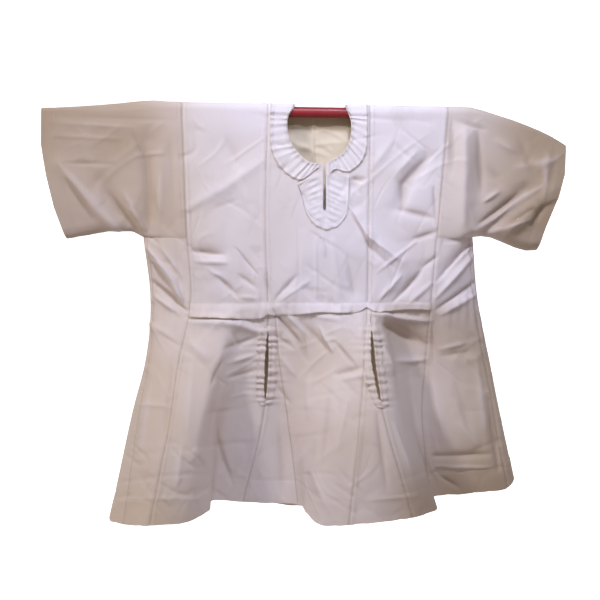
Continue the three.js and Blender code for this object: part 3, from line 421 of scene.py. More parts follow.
def value_at(heights, values, z):
    """Value at height z of a smooth curve through values at falling heights"""
    last = len(heights) - 1
    i = 0
    while i < last - 1 and z < heights[i + 1]:
        i += 1

    def slope(k):
        return (values[k + 1] - values[k]) / (heights[k + 1] - heights[k])

    def tangent(k):
        if k == 0:
            return slope(0)
        if k == last:
            return slope(last - 1)
        before = heights[k - 1] - heights[k]
        after = heights[k] - heights[k + 1]
        return (slope(k - 1) * after + slope(k) * before) / (before + after)

    span = heights[i + 1] - heights[i]
    s = (z - heights[i]) / span
    return ((2 * s**3 - 3 * s**2 + 1) * values[i] + (s**3 - 2 * s**2 + s) * span * tangent(i)
            + (3 * s**2 - 2 * s**3) * values[i + 1] + (s**3 - s**2) * span * tangent(i + 1))


def curve_span(before, start, end, after, shares):
    """Centripetal curve from start to end, at shares of the way"""
    gaps = []
    for a, b in ((before, start), (start, end), (end, after)):
        gaps.append(max(np.linalg.norm(b - a), 1e-6) ** 0.5)
    first, middle, final = gaps
    leave = ((start - before) / first - (end - before) / (first + middle)
             + (end - start) / middle) * middle
    arrive = ((end - start) / middle - (after - start) / (middle + final)
              + (after - end) / final) * middle
    s = np.asarray(shares)[:, None]
    return ((2 * s**3 - 3 * s**2 + 1) * start + (s**3 - 2 * s**2 + s) * leave
            + (3 * s**2 - 2 * s**3) * end + (s**3 - s**2) * arrive)


def smooth_line(points, count):
    """Smooth curve through points, as count + 1 points at even steps"""
    points = [np.asarray(p, float) for p in points]
    ends = [2 * points[0] - points[1], *points, 2 * points[-1] - points[-2]]
    result = []
    for k in range(count + 1):
        place = k / count * (len(points) - 1)
        i = min(int(place), len(points) - 2)
        result.append(curve_span(*ends[i:i + 4], [place - i])[0])
    return np.array(result)


def lattice_noise(x, z, size, seed):
    """Smooth random heights from -1 to 1 on a lattice of the given size"""
    side = 64
    lattice = np.random.default_rng(seed).uniform(-1, 1, (side, side))
    u, v = np.nan_to_num(x / size), np.nan_to_num(z / size)
    i, j = np.floor(u).astype(int), np.floor(v).astype(int)
    fu, fv = u - i, v - j
    fu, fv = fu * fu * (3 - 2 * fu), fv * fv * (3 - 2 * fv)

    def pick(a, b):
        return lattice[(i + a) % side, (j + b) % side]

    return blend(blend(pick(0, 0), pick(1, 0), fu), blend(pick(0, 1), pick(1, 1), fu), fv)


def line_noise(x, size, seed):
    """Smooth random heights from -1 to 1 along a line"""
    return lattice_noise(x, np.zeros_like(x), size, seed)


def path_distance(x, z, path):
    """Distance from each point to a path, and the share of the path's length there"""
    nearest = np.full(x.shape, np.inf)
    share = np.zeros(x.shape)
    lengths = [math.dist(a, b) for a, b in zip(path, path[1:])]
    run = 0
    for (x0, z0), (x1, z1), length in zip(path, path[1:], lengths):
        dx, dz = x1 - x0, z1 - z0
        along = np.clip(((x - x0) * dx + (z - z0) * dz) / length**2, 0, 1)
        away = np.hypot(x - x0 - dx * along, z - z0 - dz * along)
        closer = away < nearest
        nearest = np.where(closer, away, nearest)
        share = np.where(closer, (run + along * length) / sum(lengths), share)
        run += length
    return nearest, share


def photo_point(across, down):
    """x and z in the rod's plane, in whole millimetres, of a place on the enlarged photo"""
    fall = math.radians(PHOTO_FALL)
    focal = PHOTO_PIXELS * PHOTO_DISTANCE / PHOTO_SPAN
    right = (across / PHOTO_ENLARGED - PHOTO_PIXELS / 2) / focal
    low = (down / PHOTO_ENLARGED - PHOTO_PIXELS / 2) / focal
    reach = PHOTO_DISTANCE * math.cos(fall) / (math.cos(fall) - low * math.sin(fall))
    x = PHOTO_TARGET_X + reach * right
    z = PHOTO_TARGET_Z + PHOTO_DISTANCE * math.sin(fall) - reach * (math.sin(fall) + low * math.cos(fall))
    return round(round(x, 1)), round(round(z, 1))


def crease_paths(rows, on_photo=False):
    """Path, half width and height of each crease"""
    creases = []
    for half, peak, *places in rows:
        path = list(zip(places[::2], places[1::2]))
        if on_photo:
            path = [photo_point(*place) for place in path]
        creases.append((path, half, peak))
    return creases


FRONT_PATHS = crease_paths(LEFT_SLEEVE_CREASES + BODICE_CREASES + RIGHT_SLEEVE_CREASES
                           + GORE_CREASES + SKIRT_CREASES, on_photo=True)
BACK_PATHS = crease_paths(BACK_CREASES)


def crease_field(x, z, creases):
    """Heights of soft ridges and troughs that narrow and fade towards both ends"""
    height = np.zeros(x.shape)
    for path, half, peak in creases:
        xs, zs = [p[0] for p in path], [p[1] for p in path]
        reach = 3 * half
        near = ((x > min(xs) - reach) & (x < max(xs) + reach)
                & (z > min(zs) - reach) & (z < max(zs) + reach))
        away, share = path_distance(x[near], z[near], path)
        taper = np.sin(np.pi * (0.1 + 0.8 * share)) ** 0.9
        width = half * (0.6 + 0.4 * taper)
        crest = np.exp(-(np.sqrt(away**2 + (0.3 * width) ** 2) - 0.3 * width) / (0.5 * width))
        height[near] += peak * taper * crest
    return height


# Trunk of the smock: one grid of points, rows from the rod's top to the hem, columns round the body

def level_height(line, level):
    """Height of a level on a fold line: the shoulder's falls with the rod, and the hem's is its own"""
    if level == 0:
        return -ROD_FALL * line["shoulder"][0] if "shoulder" in line else 0
    return line["hem"][2] if level == 5 else LEVEL_HEIGHTS[level]


def line_point(name, row):
    """Point of a fold line at a row, or None above where it starts"""
    line = FOLD_LINES[name]
    level, share = row
    known = [k for k, word in enumerate(LEVELS) if word in line]
    if level < known[0]:
        return None
    z = blend(level_height(line, level), level_height(line, min(level + 1, 5)), share)
    heights = [level_height(line, k) for k in known]
    x, forward = (value_at(heights, [line[LEVELS[k]][axis] for k in known], z) for axis in (0, 1))
    return np.array((x, -forward, z))


# Strips of the solids' grid after each fold line, which say how even its columns are
LINE_STRIPS = (2, 2, 2, 3, 3, 2, 2, 3, 3, 2, 2, 3, 2, 2, 2, 2, 4, 3, 2, 2, 3, 3, 3, 3, 3, 3, 3, 3, 3)
EVEN_PLACE = dict(zip(LINE_NAMES, np.cumsum((0,) + LINE_STRIPS[:-1])))


def carried_point(name, row):
    """Point of a line that starts at the waist, carried up between the seams beside it"""
    index = left = right = LINE_NAMES.index(name)
    while "shoulder" not in FOLD_LINES[LINE_NAMES[left]]:
        left -= 1
    while "shoulder" not in FOLD_LINES[LINE_NAMES[right]]:
        right += 1
    left_name, right_name = LINE_NAMES[left], LINE_NAMES[right]
    a, b = line_point(left_name, row), line_point(right_name, row)
    even = ((EVEN_PLACE[LINE_NAMES[index]] - EVEN_PLACE[left_name])
            / (EVEN_PLACE[right_name] - EVEN_PLACE[left_name]))
    worn_from = FOLD_LINES[left_name]["waist"][0]
    worn_to = FOLD_LINES[right_name]["waist"][0]
    worn = (FOLD_LINES[name]["waist"][0] - worn_from) / (worn_to - worn_from)
    rise = min(max((a[2] - WAIST) / (UNDERARM - WAIST), 0), 1)
    point = blend(a, b, blend(worn, even, rise))
    point[1] = blend(-FOLD_LINES[name]["waist"][1], point[1], rise)
    return point


def body_rows():
    """Level and share of every row from the shoulder to the hem"""
    heights = (*LEVEL_HEIGHTS, MEAN_HEM)
    rows = []
    for level, (upper, lower) in enumerate(zip(heights, heights[1:])):
        count = round((upper - lower) / ROW_PITCH)
        rows += [(level, k / count) for k in range(count)]
    return rows + [(4, 1.0)]


BODY_ROWS = body_rows()
ARCH_ROWS = len(ARCH_ANGLES)
UNDERARM_ROW = ARCH_ROWS + BODY_ROWS.index((1, 0.0))
WAIST_ROW = ARCH_ROWS + BODY_ROWS.index((2, 0.0))
LAST_ROW = ARCH_ROWS + len(BODY_ROWS) - 1


def row_lines(row):
    """Fold lines' points at a row; None for the gores' lines above the underarm"""
    points = []
    for name in LINE_NAMES:
        point = line_point(name, row)
        gore = "shoulder" not in FOLD_LINES[name] and "underarm" in FOLD_LINES[name]
        if point is None and not gore:
            point = carried_point(name, row)
        points.append(point)
    return points


ALL_LINES = [row_lines(row) for row in BODY_ROWS]


def strip_counts():
    """How many strips lie between each fold line and the next"""
    counts = []
    for i, name in enumerate(LINE_NAMES):
        after = (i + 1) % len(LINE_NAMES)
        spans = [np.linalg.norm(row[after] - row[i]) for row in ALL_LINES
                 if row[i] is not None and row[after] is not None]
        pitch = BACK_PITCH if name.startswith("back") or name == "right_fold" else FRONT_PITCH
        counts.append(max(6, math.ceil(1.08 * max(spans) / pitch)))
    return counts


COUNTS = strip_counts()
COLUMN = dict(zip(LINE_NAMES, np.cumsum([0] + COUNTS[:-1]).tolist()))
COLUMNS = sum(COUNTS)


def strip_shares(count, length, seam_before, seam_after):
    """Shares of a span's way where its columns lie, two of them close to each seam"""
    near, far = SEAM_NEAR / length, SEAM_FAR / length
    start = [0, near] if seam_before else []
    end = [1 - near] if seam_after else []
    middle = count - len(start) - len(end)
    low = far if seam_before else 0
    high = 1 - far if seam_after else 1
    return [*start, *np.linspace(low, high, middle, endpoint=seam_after), *end]


def fill_row(target, points, first, last, closed):
    """Lays the columns between two fold lines along a smooth curve"""
    total = len(LINE_NAMES)
    for i in range(first, last):
        def pick(k):
            if closed:
                return points[k % total]
            if k < first:
                return 2 * points[first] - points[first + 1]
            if k > last:
                return 2 * points[last] - points[last - 1]
            return points[k]
        four = [pick(k) for k in (i - 1, i, i + 1, i + 2)]
        name, after = LINE_NAMES[i], LINE_NAMES[(i + 1) % total]
        length = np.linalg.norm(four[2] - four[1])
        shares = strip_shares(COUNTS[i], length, name in SEAM_LINES, after in SEAM_LINES)
        start = COLUMN[name]
        target[start:start + COUNTS[i]] = curve_span(*four, shares)
    if not closed:
        target[COLUMN[LINE_NAMES[last]]] = points[last]


def broad_crease(points):
    """Moves points in y by the creases that the solids share"""
    x, y, z = points[..., 0], points[..., 1], points[..., 2]
    fade = smooth_step(-z, 12, 60) * smooth_step(z, WAIST, WAIST + 30)
    fade = fade * np.minimum(1, np.abs(y) / 12)
    height = np.zeros(x.shape)
    for table, side in ((BROAD_FRONT, y < ARCH_Y), (BROAD_BACK, y >= ARCH_Y)):
        for start, end, half, peak in table:
            away, _ = path_distance(x, z, (start, end))
            height += side * peak * bell(away, half)
    result = points.copy()
    result[..., 1] += np.where(y < ARCH_Y, -1, 1) * height * fade
    return result


def trunk_grid():
    """The trunk's points, with broad creases, row by row, and the fold over the rod above them"""
    grid = np.full((LAST_ROW + 1, COLUMNS, 3), np.nan)
    front = (LINE_NAMES.index("left_gore_seam"), LINE_NAMES.index("right_gore_seam"))
    back = (LINE_NAMES.index("back_right_gore_seam"), LINE_NAMES.index("back_left_gore_seam"))
    for r, ((level, share), points) in enumerate(zip(BODY_ROWS, ALL_LINES), ARCH_ROWS):
        if level == 0:
            for first, last in (front, back):
                fill_row(grid[r], points, first, last, closed=False)
            grid[r, :, 2] = blend(-ROD_FALL * grid[r, :, 0], UNDERARM, share)
        else:
            fill_row(grid[r], points, 0, len(LINE_NAMES), closed=True)
        if level < 2:
            grid[r] = broad_crease(grid[r])
    shoulder = grid[ARCH_ROWS]
    side = np.where(shoulder[:, 1] < 0, -1, 1)
    for r, angle in enumerate(ARCH_ANGLES):
        turn = math.radians(angle)
        grid[r, :, 0] = shoulder[:, 0]
        grid[r, :, 1] = ARCH_Y + side * ARCH_HALF * math.cos(turn)
        grid[r, :, 2] = -ROD_FALL * shoulder[:, 0] + ARCH_RISE * math.sin(turn)
    return grid


def grid_normals(points, wraps=False):
    """Outward unit normals of a grid; a missing neighbour leaves the other side's step"""
    steps = []
    for axis in (0, 1):
        ahead, behind = np.roll(points, -1, axis), np.roll(points, 1, axis)
        if axis == 0:
            ahead[-1], behind[0] = points[-1], points[0]
        elif not wraps:
            ahead[:, -1], behind[:, 0] = points[:, -1], points[:, 0]
        ahead = np.where(np.isnan(ahead), points, ahead)
        behind = np.where(np.isnan(behind), points, behind)
        steps.append(ahead - behind)
    normals = np.cross(*steps)
    return normals / np.maximum(np.linalg.norm(normals, axis=-1, keepdims=True), 1e-9)


def seam_reach(grid):
    """Distance of each point from the nearest seam, along its row"""
    steps = np.linalg.norm(np.diff(grid, axis=1), axis=-1)
    run = np.concatenate((np.zeros((len(grid), 1)), np.nancumsum(steps, axis=1)), axis=1)
    reach = np.full(run.shape, 1e3)
    for name in SEAM_LINES:
        first = 0 if "shoulder" in FOLD_LINES[name] else WAIST_ROW
        if name.endswith("side_seam"):
            first = UNDERARM_ROW
        away = np.abs(run[first:] - run[first:, COLUMN[name], None])
        reach[first:] = np.minimum(reach[first:], away)
    return reach


def seen_in_front(points):
    """x and z where the line from the eye through each point meets the rod's plane"""
    share = -EYE[1] / (points[..., 1] - EYE[1])
    return (EYE[0] + (points[..., 0] - EYE[0]) * share, EYE[2] + (points[..., 2] - EYE[2]) * share)


def facing_eye(points, normals):
    """Cosine between the cloth's normal and the line to the eye"""
    sight = EYE - points
    sight = sight / np.linalg.norm(sight, axis=-1, keepdims=True)
    return np.sum(sight * normals, axis=-1)


# Faint straight creases of worn cloth: turn, spacing and height
CRUMPLES = ((-0.65, 31, -1.3), (0.6, 37, 1.2), (0.15, 43, -0.9), (-1.2, 29, 0.8), (1.1, 26, -0.7))


def rumple(x, z, seed):
    """Shallow unevenness of worn cotton, with faint crease lines here and there"""
    height = 1.1 * lattice_noise(x, z, 92, seed) + 0.55 * lattice_noise(x, z, 37, seed + 1)
    height += 0.25 * lattice_noise(x, z, 15, seed + 2)
    for turn, size, depth in CRUMPLES:
        along = x * math.cos(turn) + z * math.sin(turn)
        across = z * math.cos(turn) - x * math.sin(turn)
        lines = lattice_noise(along / 3.5, across, size, seed + size)
        patches = smooth_step(lattice_noise(x, z, 2.2 * size, seed + size + 1), 0, 0.5)
        height += depth * patches * bell(lines, 0.12)
    return height


def gathers(x, z):
    """Small uneven folds that run up and down from the tuck"""
    above = np.exp(-np.maximum(z - TUCK_TOP, 0) / 14)
    below = np.exp(-np.maximum(TUCK_TOP - 30 - z, 0) / 30)
    waves = lattice_noise(x, z * 0.12, 9, 41) + 0.7 * lattice_noise(x, z * 0.1, 23, 42)
    return 1.5 * waves * np.where(z > TUCK_TOP, above, below)


def middle_and_half(pocket):
    """Height of a pocket slit's middle, and half its length"""
    return (pocket["top"] + pocket["bottom"]) / 2, (pocket["top"] - pocket["bottom"]) / 2


def pocket_waves(z, pocket, side):
    """Height from -1 to 1 of the uneven gathers on one side of a pocket slit"""
    share = (z - pocket["bottom"]) / (pocket["top"] - pocket["bottom"])
    place = share * BINDING_WAVES / 2 + 0.22 * np.sin(8 * share + side) + 0.1 * np.sin(23 * share)
    strength = 0.75 + 0.25 * np.sin(14 * share + 2.2 * side)
    return strength * np.cos(2 * np.pi * place)


def detail_height(points, normals):
    """Height of all the finer creases on any of the smock's cloth"""
    x, z = points[..., 0], points[..., 2]
    seen_x, seen_z = seen_in_front(points)
    front = smooth_step(facing_eye(points, normals), 0.05, 0.45)
    back = smooth_step(normals[..., 1], 0.1, 0.6)
    height = front * (CREASE_GAIN * crease_field(seen_x, seen_z, FRONT_PATHS)
                      + RUMPLE_GAIN * rumple(seen_x, seen_z, 11))
    height += back * (CREASE_GAIN * crease_field(x, z, BACK_PATHS) + RUMPLE_GAIN * rumple(x, z, 61))
    height += np.maximum(front, back) * gathers(x, z)
    return height * smooth_step(-z, -6, 40)


def seam_detail(grid, reach):
    """Seam valleys and their puckers, the felled edge, the hem's stitch line and the pockets' drag"""
    z = grid[..., 2]
    height = -0.9 * bell(reach, 1.6)
    height += 0.5 * smooth_step(reach, 1.5, 3) * smooth_step(-reach, -11, -9)
    puckers = np.sin(z / 1.9 + 2 * lattice_noise(grid[..., 0], z, 31, 91))
    height += 0.35 * puckers * bell(reach, 8) * smooth_step(-z, 0, 20)
    above_stitch = z - grid[-1:, :, 2] - HEM_DEPTH
    height -= 0.8 * bell(above_stitch, 2.4)
    height += 0.5 * smooth_step(-above_stitch, -1, 3)
    ripple = lattice_noise(grid[..., 0], z, 17, 92)
    height += 0.8 * ripple * bell(above_stitch, 14)
    for pocket in POCKETS.values():
        seam = grid[:, COLUMN[pocket["seam"]], None]
        away = np.linalg.norm(grid - seam, axis=-1)
        middle, _ = middle_and_half(pocket)
        inside = smooth_step(-np.abs(z - middle), -98, -62) * (np.abs(grid[..., 0]) < 200)
        side = np.where(grid[..., 0] < seam[..., 0], -1, 1)
        height += 1.5 * pocket_waves(z, pocket, side) * inside * bell(away, 36)
    return height


# The trunk without and with its finer creases; the fold's crown points straight up
BASE = trunk_grid()
BASE_NORMALS = grid_normals(BASE, wraps=True)
BASE_NORMALS[0] = (0, 0, 1)
REACH = seam_reach(BASE)
DETAIL = detail_height(BASE, BASE_NORMALS)
# Crease heights, scaled for the painted shade in troughs and painted highlight on crests
CREASE_SHADING = DETAIL / CREASE_SHADING_HEIGHT
DETAIL = DETAIL + seam_detail(BASE, REACH)
TRUNK = BASE + BASE_NORMALS * DETAIL[..., None]
near_hem = np.exp(-(TRUNK[..., 2] - TRUNK[-1:, :, 2]) / 16)
TRUNK[..., 2] += near_hem * (1.4 * lattice_noise(TRUNK[..., 0], TRUNK[..., 1], 34, 52)
                             + 0.8 * lattice_noise(TRUNK[..., 0], TRUNK[..., 1], 11, 53))
TRUNK_NORMALS = grid_normals(TRUNK, wraps=True)
TRUNK_NORMALS[0] = (0, 0, 1)


# Meshes

def cloth_coordinates(outer):
    """How far each point lies across and down the cloth, in metres"""
    def run(axis):
        """Length along the grid's rows or columns up to each point"""
        steps = np.linalg.norm(np.diff(outer, axis=axis), axis=-1)
        start = np.zeros_like(np.take(steps, [0], axis=axis))
        return np.concatenate((start, np.cumsum(steps, axis=axis)), axis=axis)
    return np.stack((run(1), run(0)), axis=-1) * MM


def cut_size(outer, ring=False, width_row=None):
    """Flat width, length and area of a grid in metres, the width from its widest row or a named one"""
    if ring:
        outer = np.concatenate((outer, outer[:, :1]), axis=1)
    across = np.linalg.norm(np.diff(outer, axis=1), axis=-1).sum(axis=1)
    down = np.linalg.norm(np.diff(outer, axis=0), axis=-1).sum(axis=0)
    first, second = outer[1:, 1:] - outer[:-1, :-1], outer[1:, :-1] - outer[:-1, 1:]
    area = 0.5 * np.linalg.norm(np.cross(first, second), axis=-1).sum()
    width = across.max() if width_row is None else across[width_row]
    return width * MM, down.max() * MM, area * MM**2


def add_object(name, data):
    """Object that holds the given data, put in the scene"""
    made = bpy.data.objects.new(name, data)
    bpy.context.collection.objects.link(made)
    return made


def shade_smooth(mesh):
    """Shades every face smoothly"""
    mesh.polygons.foreach_set("use_smooth", [True] * len(mesh.polygons))


def make_object(name, points, faces, material):
    """Smoothly shaded mesh from points in millimetres"""
    mesh = bpy.data.meshes.new(name)
    mesh.from_pydata((points * MM).tolist(), [], faces)
    shade_smooth(mesh)
    mesh.materials.append(material)
    return add_object(name, mesh)


def store(mesh, name, values):
    """Keeps one number a vertex for the materials to read"""
    attribute = mesh.attributes.new(name, "FLOAT", "POINT")
    attribute.data.foreach_set("value", np.asarray(values, np.float32).ravel())


def wall_object(name, outer, inner, material, ring=False, keep=None, seam=None, fold=None):
    """Closed thin wall between an outer and an inner grid; keep marks the quads that stay"""
    rows, columns = outer.shape[:2]
    spans = columns if ring else columns - 1
    r, c = np.meshgrid(np.arange(rows - 1), np.arange(spans), indexing="ij")
    corner = (r * columns + c, (r + 1) * columns + c,
              (r + 1) * columns + (c + 1) % columns, r * columns + (c + 1) % columns)
    quads = np.stack(corner, axis=-1).reshape(-1, 4)
    if keep is not None:
        quads = quads[keep.reshape(-1)]
    count = rows * columns
    starts = quads.reshape(-1)
    ends = np.roll(quads, -1, axis=1).reshape(-1)
    border = ~np.isin(starts * count + ends, ends * count + starts)
    a, b = starts[border], ends[border]
    rim = np.stack((b, a, a + count, b + count), axis=-1)
    faces = np.concatenate((quads, quads[:, (0, 3, 2, 1)] + count, rim))
    used, index = np.unique(faces, return_inverse=True)
    index = index.reshape(faces.shape)
    points = np.concatenate((outer.reshape(-1, 3), inner.reshape(-1, 3)))[used]
    piece = make_object(name, points, index.tolist(), material)
    mesh = piece.data
    place = cloth_coordinates(outer).reshape(-1, 2)
    place = np.concatenate((place, place))[used]
    loops = np.empty(len(mesh.loops), int)
    mesh.loops.foreach_get("vertex_index", loops)
    mesh.uv_layers.new(name="cloth").data.foreach_set("uv", place[loops].astype(np.float32).ravel())
    values = np.zeros(count) if seam is None else seam.reshape(-1)
    store(mesh, "seam", np.concatenate((values, values))[used])
    store(mesh, "inside", used >= count)
    # Crease heights that drive the painted shade in troughs and painted highlight on crests
    values = np.zeros(count) if fold is None else fold.reshape(-1)
    store(mesh, "fold", np.concatenate((values, values))[used])
    lookup = np.full(2 * count, -1)
    lookup[used] = np.arange(len(used))
    low = np.minimum(lookup[np.r_[a, a + count]], lookup[np.r_[b, b + count]])
    high = np.maximum(lookup[np.r_[a, a + count]], lookup[np.r_[b, b + count]])
    edges = np.empty(2 * len(mesh.edges), int)
    mesh.edges.foreach_get("vertices", edges)
    edges = np.sort(edges.reshape(-1, 2), axis=1)
    sharp = np.isin(edges[:, 0] * 10**7 + edges[:, 1], low * 10**7 + high)
    mesh.attributes.new("sharp_edge", "BOOLEAN", "EDGE").data.foreach_set("value", sharp)
    return piece


def inside_outline(x, z, outline):
    """Whether points lie inside a closed outline"""
    inside = np.zeros(x.shape, bool)
    for (x0, z0), (x1, z1) in zip(outline, np.roll(outline, -1, axis=0)):
        crosses = (z0 > z) != (z1 > z)
        with np.errstate(divide="ignore", invalid="ignore"):
            inside ^= crosses & (x < (x1 - x0) * (z - z0) / (z1 - z0) + x0)
    return inside


def cut_hole(outer, normals, outline):
    """Quads that stay round a hole, with the points beside it moved onto its outline"""
    centres = (outer[:-1, :-1] + outer[1:, :-1] + outer[:-1, 1:] + outer[1:, 1:]) / 4
    keep = ~inside_outline(centres[..., 0], centres[..., 2], outline)
    touched = [np.zeros(outer.shape[:2], bool) for _ in range(2)]
    for state, marks in zip((keep, ~keep), touched):
        for dr in (0, 1):
            for dc in (0, 1):
                marks[dr:dr + keep.shape[0], dc:dc + keep.shape[1]] |= state
    moved = outer.copy()
    for r, c in np.argwhere(touched[0] & touched[1]):
        x, y, z = outer[r, c]
        best = None
        for (x0, z0), (x1, z1) in zip(outline, np.roll(outline, -1, axis=0)):
            dx, dz = x1 - x0, z1 - z0
            along = min(max(((x - x0) * dx + (z - z0) * dz) / max(dx * dx + dz * dz, 1e-9), 0), 1)
            spot = (x0 + dx * along, z0 + dz * along)
            away = math.dist(spot, (x, z))
            if best is None or away < best[0]:
                best = (away, *spot)
        _, new_x, new_z = best
        nx, ny, nz = normals[r, c]
        if z > ROD_SIDE:
            new_z = z
        slide = (nx * (new_x - x) + nz * (new_z - z)) / ny if abs(ny) > 0.3 else 0
        moved[r, c] = (new_x, y - slide, new_z)
    return moved, keep


# Shader building

class Socket:
    """A shader value that can be used in sums; numbers and sockets mix freely"""

    def __init__(self, tree, link):
        self.tree = tree
        self.link = link

    def math(self, operation, first, second):
        return self.tree.node("ShaderNodeMath", {"operation": operation}, {0: first, 1: second})

    def __add__(self, other):
        return self.math("ADD", self, other)

    def __radd__(self, other):
        return self.math("ADD", other, self)

    def __sub__(self, other):
        return self.math("SUBTRACT", self, other)

    def __rsub__(self, other):
        return self.math("SUBTRACT", other, self)

    def __mul__(self, other):
        return self.math("MULTIPLY", self, other)

    def __rmul__(self, other):
        return self.math("MULTIPLY", other, self)

    def __neg__(self):
        return 0 - self

    def __abs__(self):
        return self.tree.node("ShaderNodeMath", {"operation": "ABSOLUTE"}, {0: self})


class ShaderTree:
    """Node tree of one material"""

    def __init__(self, name):
        self.material = bpy.data.materials.new(name)
        self.material.use_nodes = True
        self.tree = self.material.node_tree
        self.tree.nodes.clear()

    def node(self, kind, settings=None, values=None, output=0):
        """Adds a node: its settings first, then numbers or links on its sockets"""
        made = self.tree.nodes.new(kind)
        for key, value in (settings or {}).items():
            if key == "stops":
                for stop, (place, colour) in zip(made.color_ramp.elements, value):
                    stop.position, stop.color = place, colour
            else:
                setattr(made, key, value)
        for key, value in (values or {}).items():
            if isinstance(value, Socket):
                self.tree.links.new(value.link, made.inputs[key])
            else:
                made.inputs[key].default_value = value
        return Socket(self, made.outputs[output]) if made.outputs else made

    def object_place(self):
        return self.node("ShaderNodeTexCoord", output=3)

    def axes(self, place):
        """x, y and z of a place"""
        split = self.node("ShaderNodeSeparateXYZ", {}, {"Vector": place})
        return [Socket(self, output) for output in split.link.node.outputs]

    def attribute(self, name):
        return self.node("ShaderNodeAttribute", {"attribute_name": name}, output=2)

    def bump(self, strength, distance, height):
        return self.node("ShaderNodeBump", {}, {"Strength": strength, "Distance": distance,
                                                "Height": height})

    def mix(self, share, first, second):
        """Blends two colours"""
        return self.node("ShaderNodeMix", {"data_type": "RGBA"}, {0: share, 6: first, 7: second}, 2)

    def noise(self, place, scale, detail=3.0, roughness=0.5):
        return self.node("ShaderNodeTexNoise", {}, {"Vector": place, "Scale": scale,
                                                    "Detail": detail, "Roughness": roughness})

    def stretched(self, place, scale):
        return self.node("ShaderNodeMapping", {}, {"Vector": place, "Scale": scale})

    def band(self, value, low, high):
        """Rises smoothly from 0 at low to 1 at high"""
        return self.node("ShaderNodeMapRange", {"interpolation_type": "SMOOTHSTEP"},
                         {"Value": value, "From Min": low, "From Max": high})

    def finish(self, values):
        """Ends the tree in one shader with the given sockets"""
        shader = self.node("ShaderNodeBsdfPrincipled", {}, values)
        self.node("ShaderNodeOutputMaterial", {}, {"Surface": shader})
        return self.material


# Wrong side of the cloth, warm with light that has passed through
INSIDE_CREAM = (0.80, 0.68, 0.52, 1)


def yellowed_and_shaded_share(tree, x, z):
    """How far the cloth turns to its shade colour, towards the cuffs and down the skirt: painted shade of
    the light's falloff, partly yellowing
    """
    low = 0.3 * tree.band(-z, 0.3, 0.6) + 0.35 * tree.band(-z, 0.36, 0.48) * tree.band(x, -0.16, 0.04)
    return 0.05 + 0.7 * tree.band(abs(x - 0.05), 0.2, 0.42) + low


def darkened_and_shaded_share(tree, x, y, z):
    """How far the cloth darkens: darker at the sleeve ends and the left shoulder's end, with painted shade
    low on the right sleeve, and under the tuck and at the hem on the front right
    """
    over_waist = tree.band(z, -0.34, -0.28)
    sleeve_ends = tree.band(abs(x + 0.03), 0.27, 0.5) * over_waist * 0.55
    # Painted shade on the front right: in the hollow under the tuck and along the hem
    front_right = tree.band(x, 0.08, 0.2) * tree.band(-y, -0.02, 0.02)
    shade_under_tuck = tree.band(z, -0.6, -0.43) * tree.band(-z, 0.375, 0.42) * 0.85
    hem = tree.band(-z, 0.62, 0.82)
    # Painted shade low on the right sleeve
    shade_below_cuff = tree.band(x, 0.3, 0.42) * tree.band(-z, 0.14, 0.24) * over_waist
    shoulder_end = tree.band(-x, 0.3, 0.45) * tree.band(z, -0.14, -0.02)
    return sleeve_ends + front_right * (shade_under_tuck + hem) + 0.5 * shade_below_cuff + 0.35 * shoulder_end


def cotton_material(name, light, shade, stain_and_shade, weave=1.0, wrong_side=INSIDE_CREAM):
    """Undyed plain-weave cotton: slubby yarns, faint stains, grey along the seams; painted shade, partly
    yellowing, towards the sides and low down; painted shade in crease troughs and a painted highlight on
    crests
    """
    tree = ShaderTree(name)
    place = tree.object_place()
    cloth = tree.node("ShaderNodeUVMap", {"uv_map": "cloth"})
    clouds = tree.band(tree.noise(place, 3.2, 2.0), 0.32, 0.7)
    spots = tree.band(tree.noise(place, 9.0, 4.0, 0.6), 0.55, 0.78)
    warp = tree.noise(tree.stretched(cloth, (620, 22, 1)), 1.0, 2.0)
    weft = tree.noise(tree.stretched(cloth, (22, 620, 1)), 1.0, 2.0)
    slub = tree.noise(tree.stretched(cloth, (210, 14, 1)), 1.0, 3.0)
    yarns = (warp + weft) * 0.5
    x, y, z = tree.axes(place)
    fold = tree.attribute("fold")
    # Light colour turning to shade colour: painted shade, partly yellowing, with random tone
    colour = tree.mix(yellowed_and_shaded_share(tree, x, z) + 0.4 * (clouds - 0.5), light, shade)
    colour = tree.mix(spots * 0.25, colour, stain_and_shade)
    # Darker sleeve ends, with painted shade under the tuck, at the front right hem and low on the right
    # sleeve
    colour = tree.mix(darkened_and_shaded_share(tree, x, y, z) * (0.6 + 0.4 * clouds), colour, stain_and_shade)
    colour = tree.mix(tree.band(slub, 0.42, 0.72) * 0.04, colour, shade)
    # Painted shade in crease troughs and a painted highlight on crest tops
    colour = tree.mix(tree.band(-fold, 0.1, 1.4) * 0.34, colour, stain_and_shade)
    colour = tree.mix(tree.band(fold, 0.1, 1.2) * 0.35, colour, light)
    colour = tree.mix(tree.attribute("seam") * 0.55, colour, stain_and_shade)
    colour = tree.mix(tree.attribute("inside") * 0.8, colour, wrong_side)
    bump = tree.bump(0.32 * weave, 0.0006, yarns * 0.8 + slub * 0.2)
    return tree.finish({
        "Base Color": colour, "Roughness": 0.86 + 0.1 * yarns, "Normal": bump,
        "Specular IOR Level": 0.25, "Sheen Weight": 0.12, "Sheen Roughness": 0.5,
        "Sheen Tint": (1.0, 0.98, 0.97, 1.0),
    })


def thread_material():
    """Greyed sewing thread with a fine twist"""
    tree = ShaderTree("sewing_thread")
    place = tree.object_place()
    grey = tree.band(tree.noise(place, 40.0), 0.35, 0.7)
    colour = tree.mix(grey, (0.56, 0.51, 0.47, 1), (0.36, 0.32, 0.29, 1))
    twist = tree.noise(place, 2600.0, 1.0)
    bump = tree.bump(0.2, 0.0002, twist)
    return tree.finish({"Base Color": colour, "Roughness": 0.7 + 0.15 * grey, "Normal": bump})


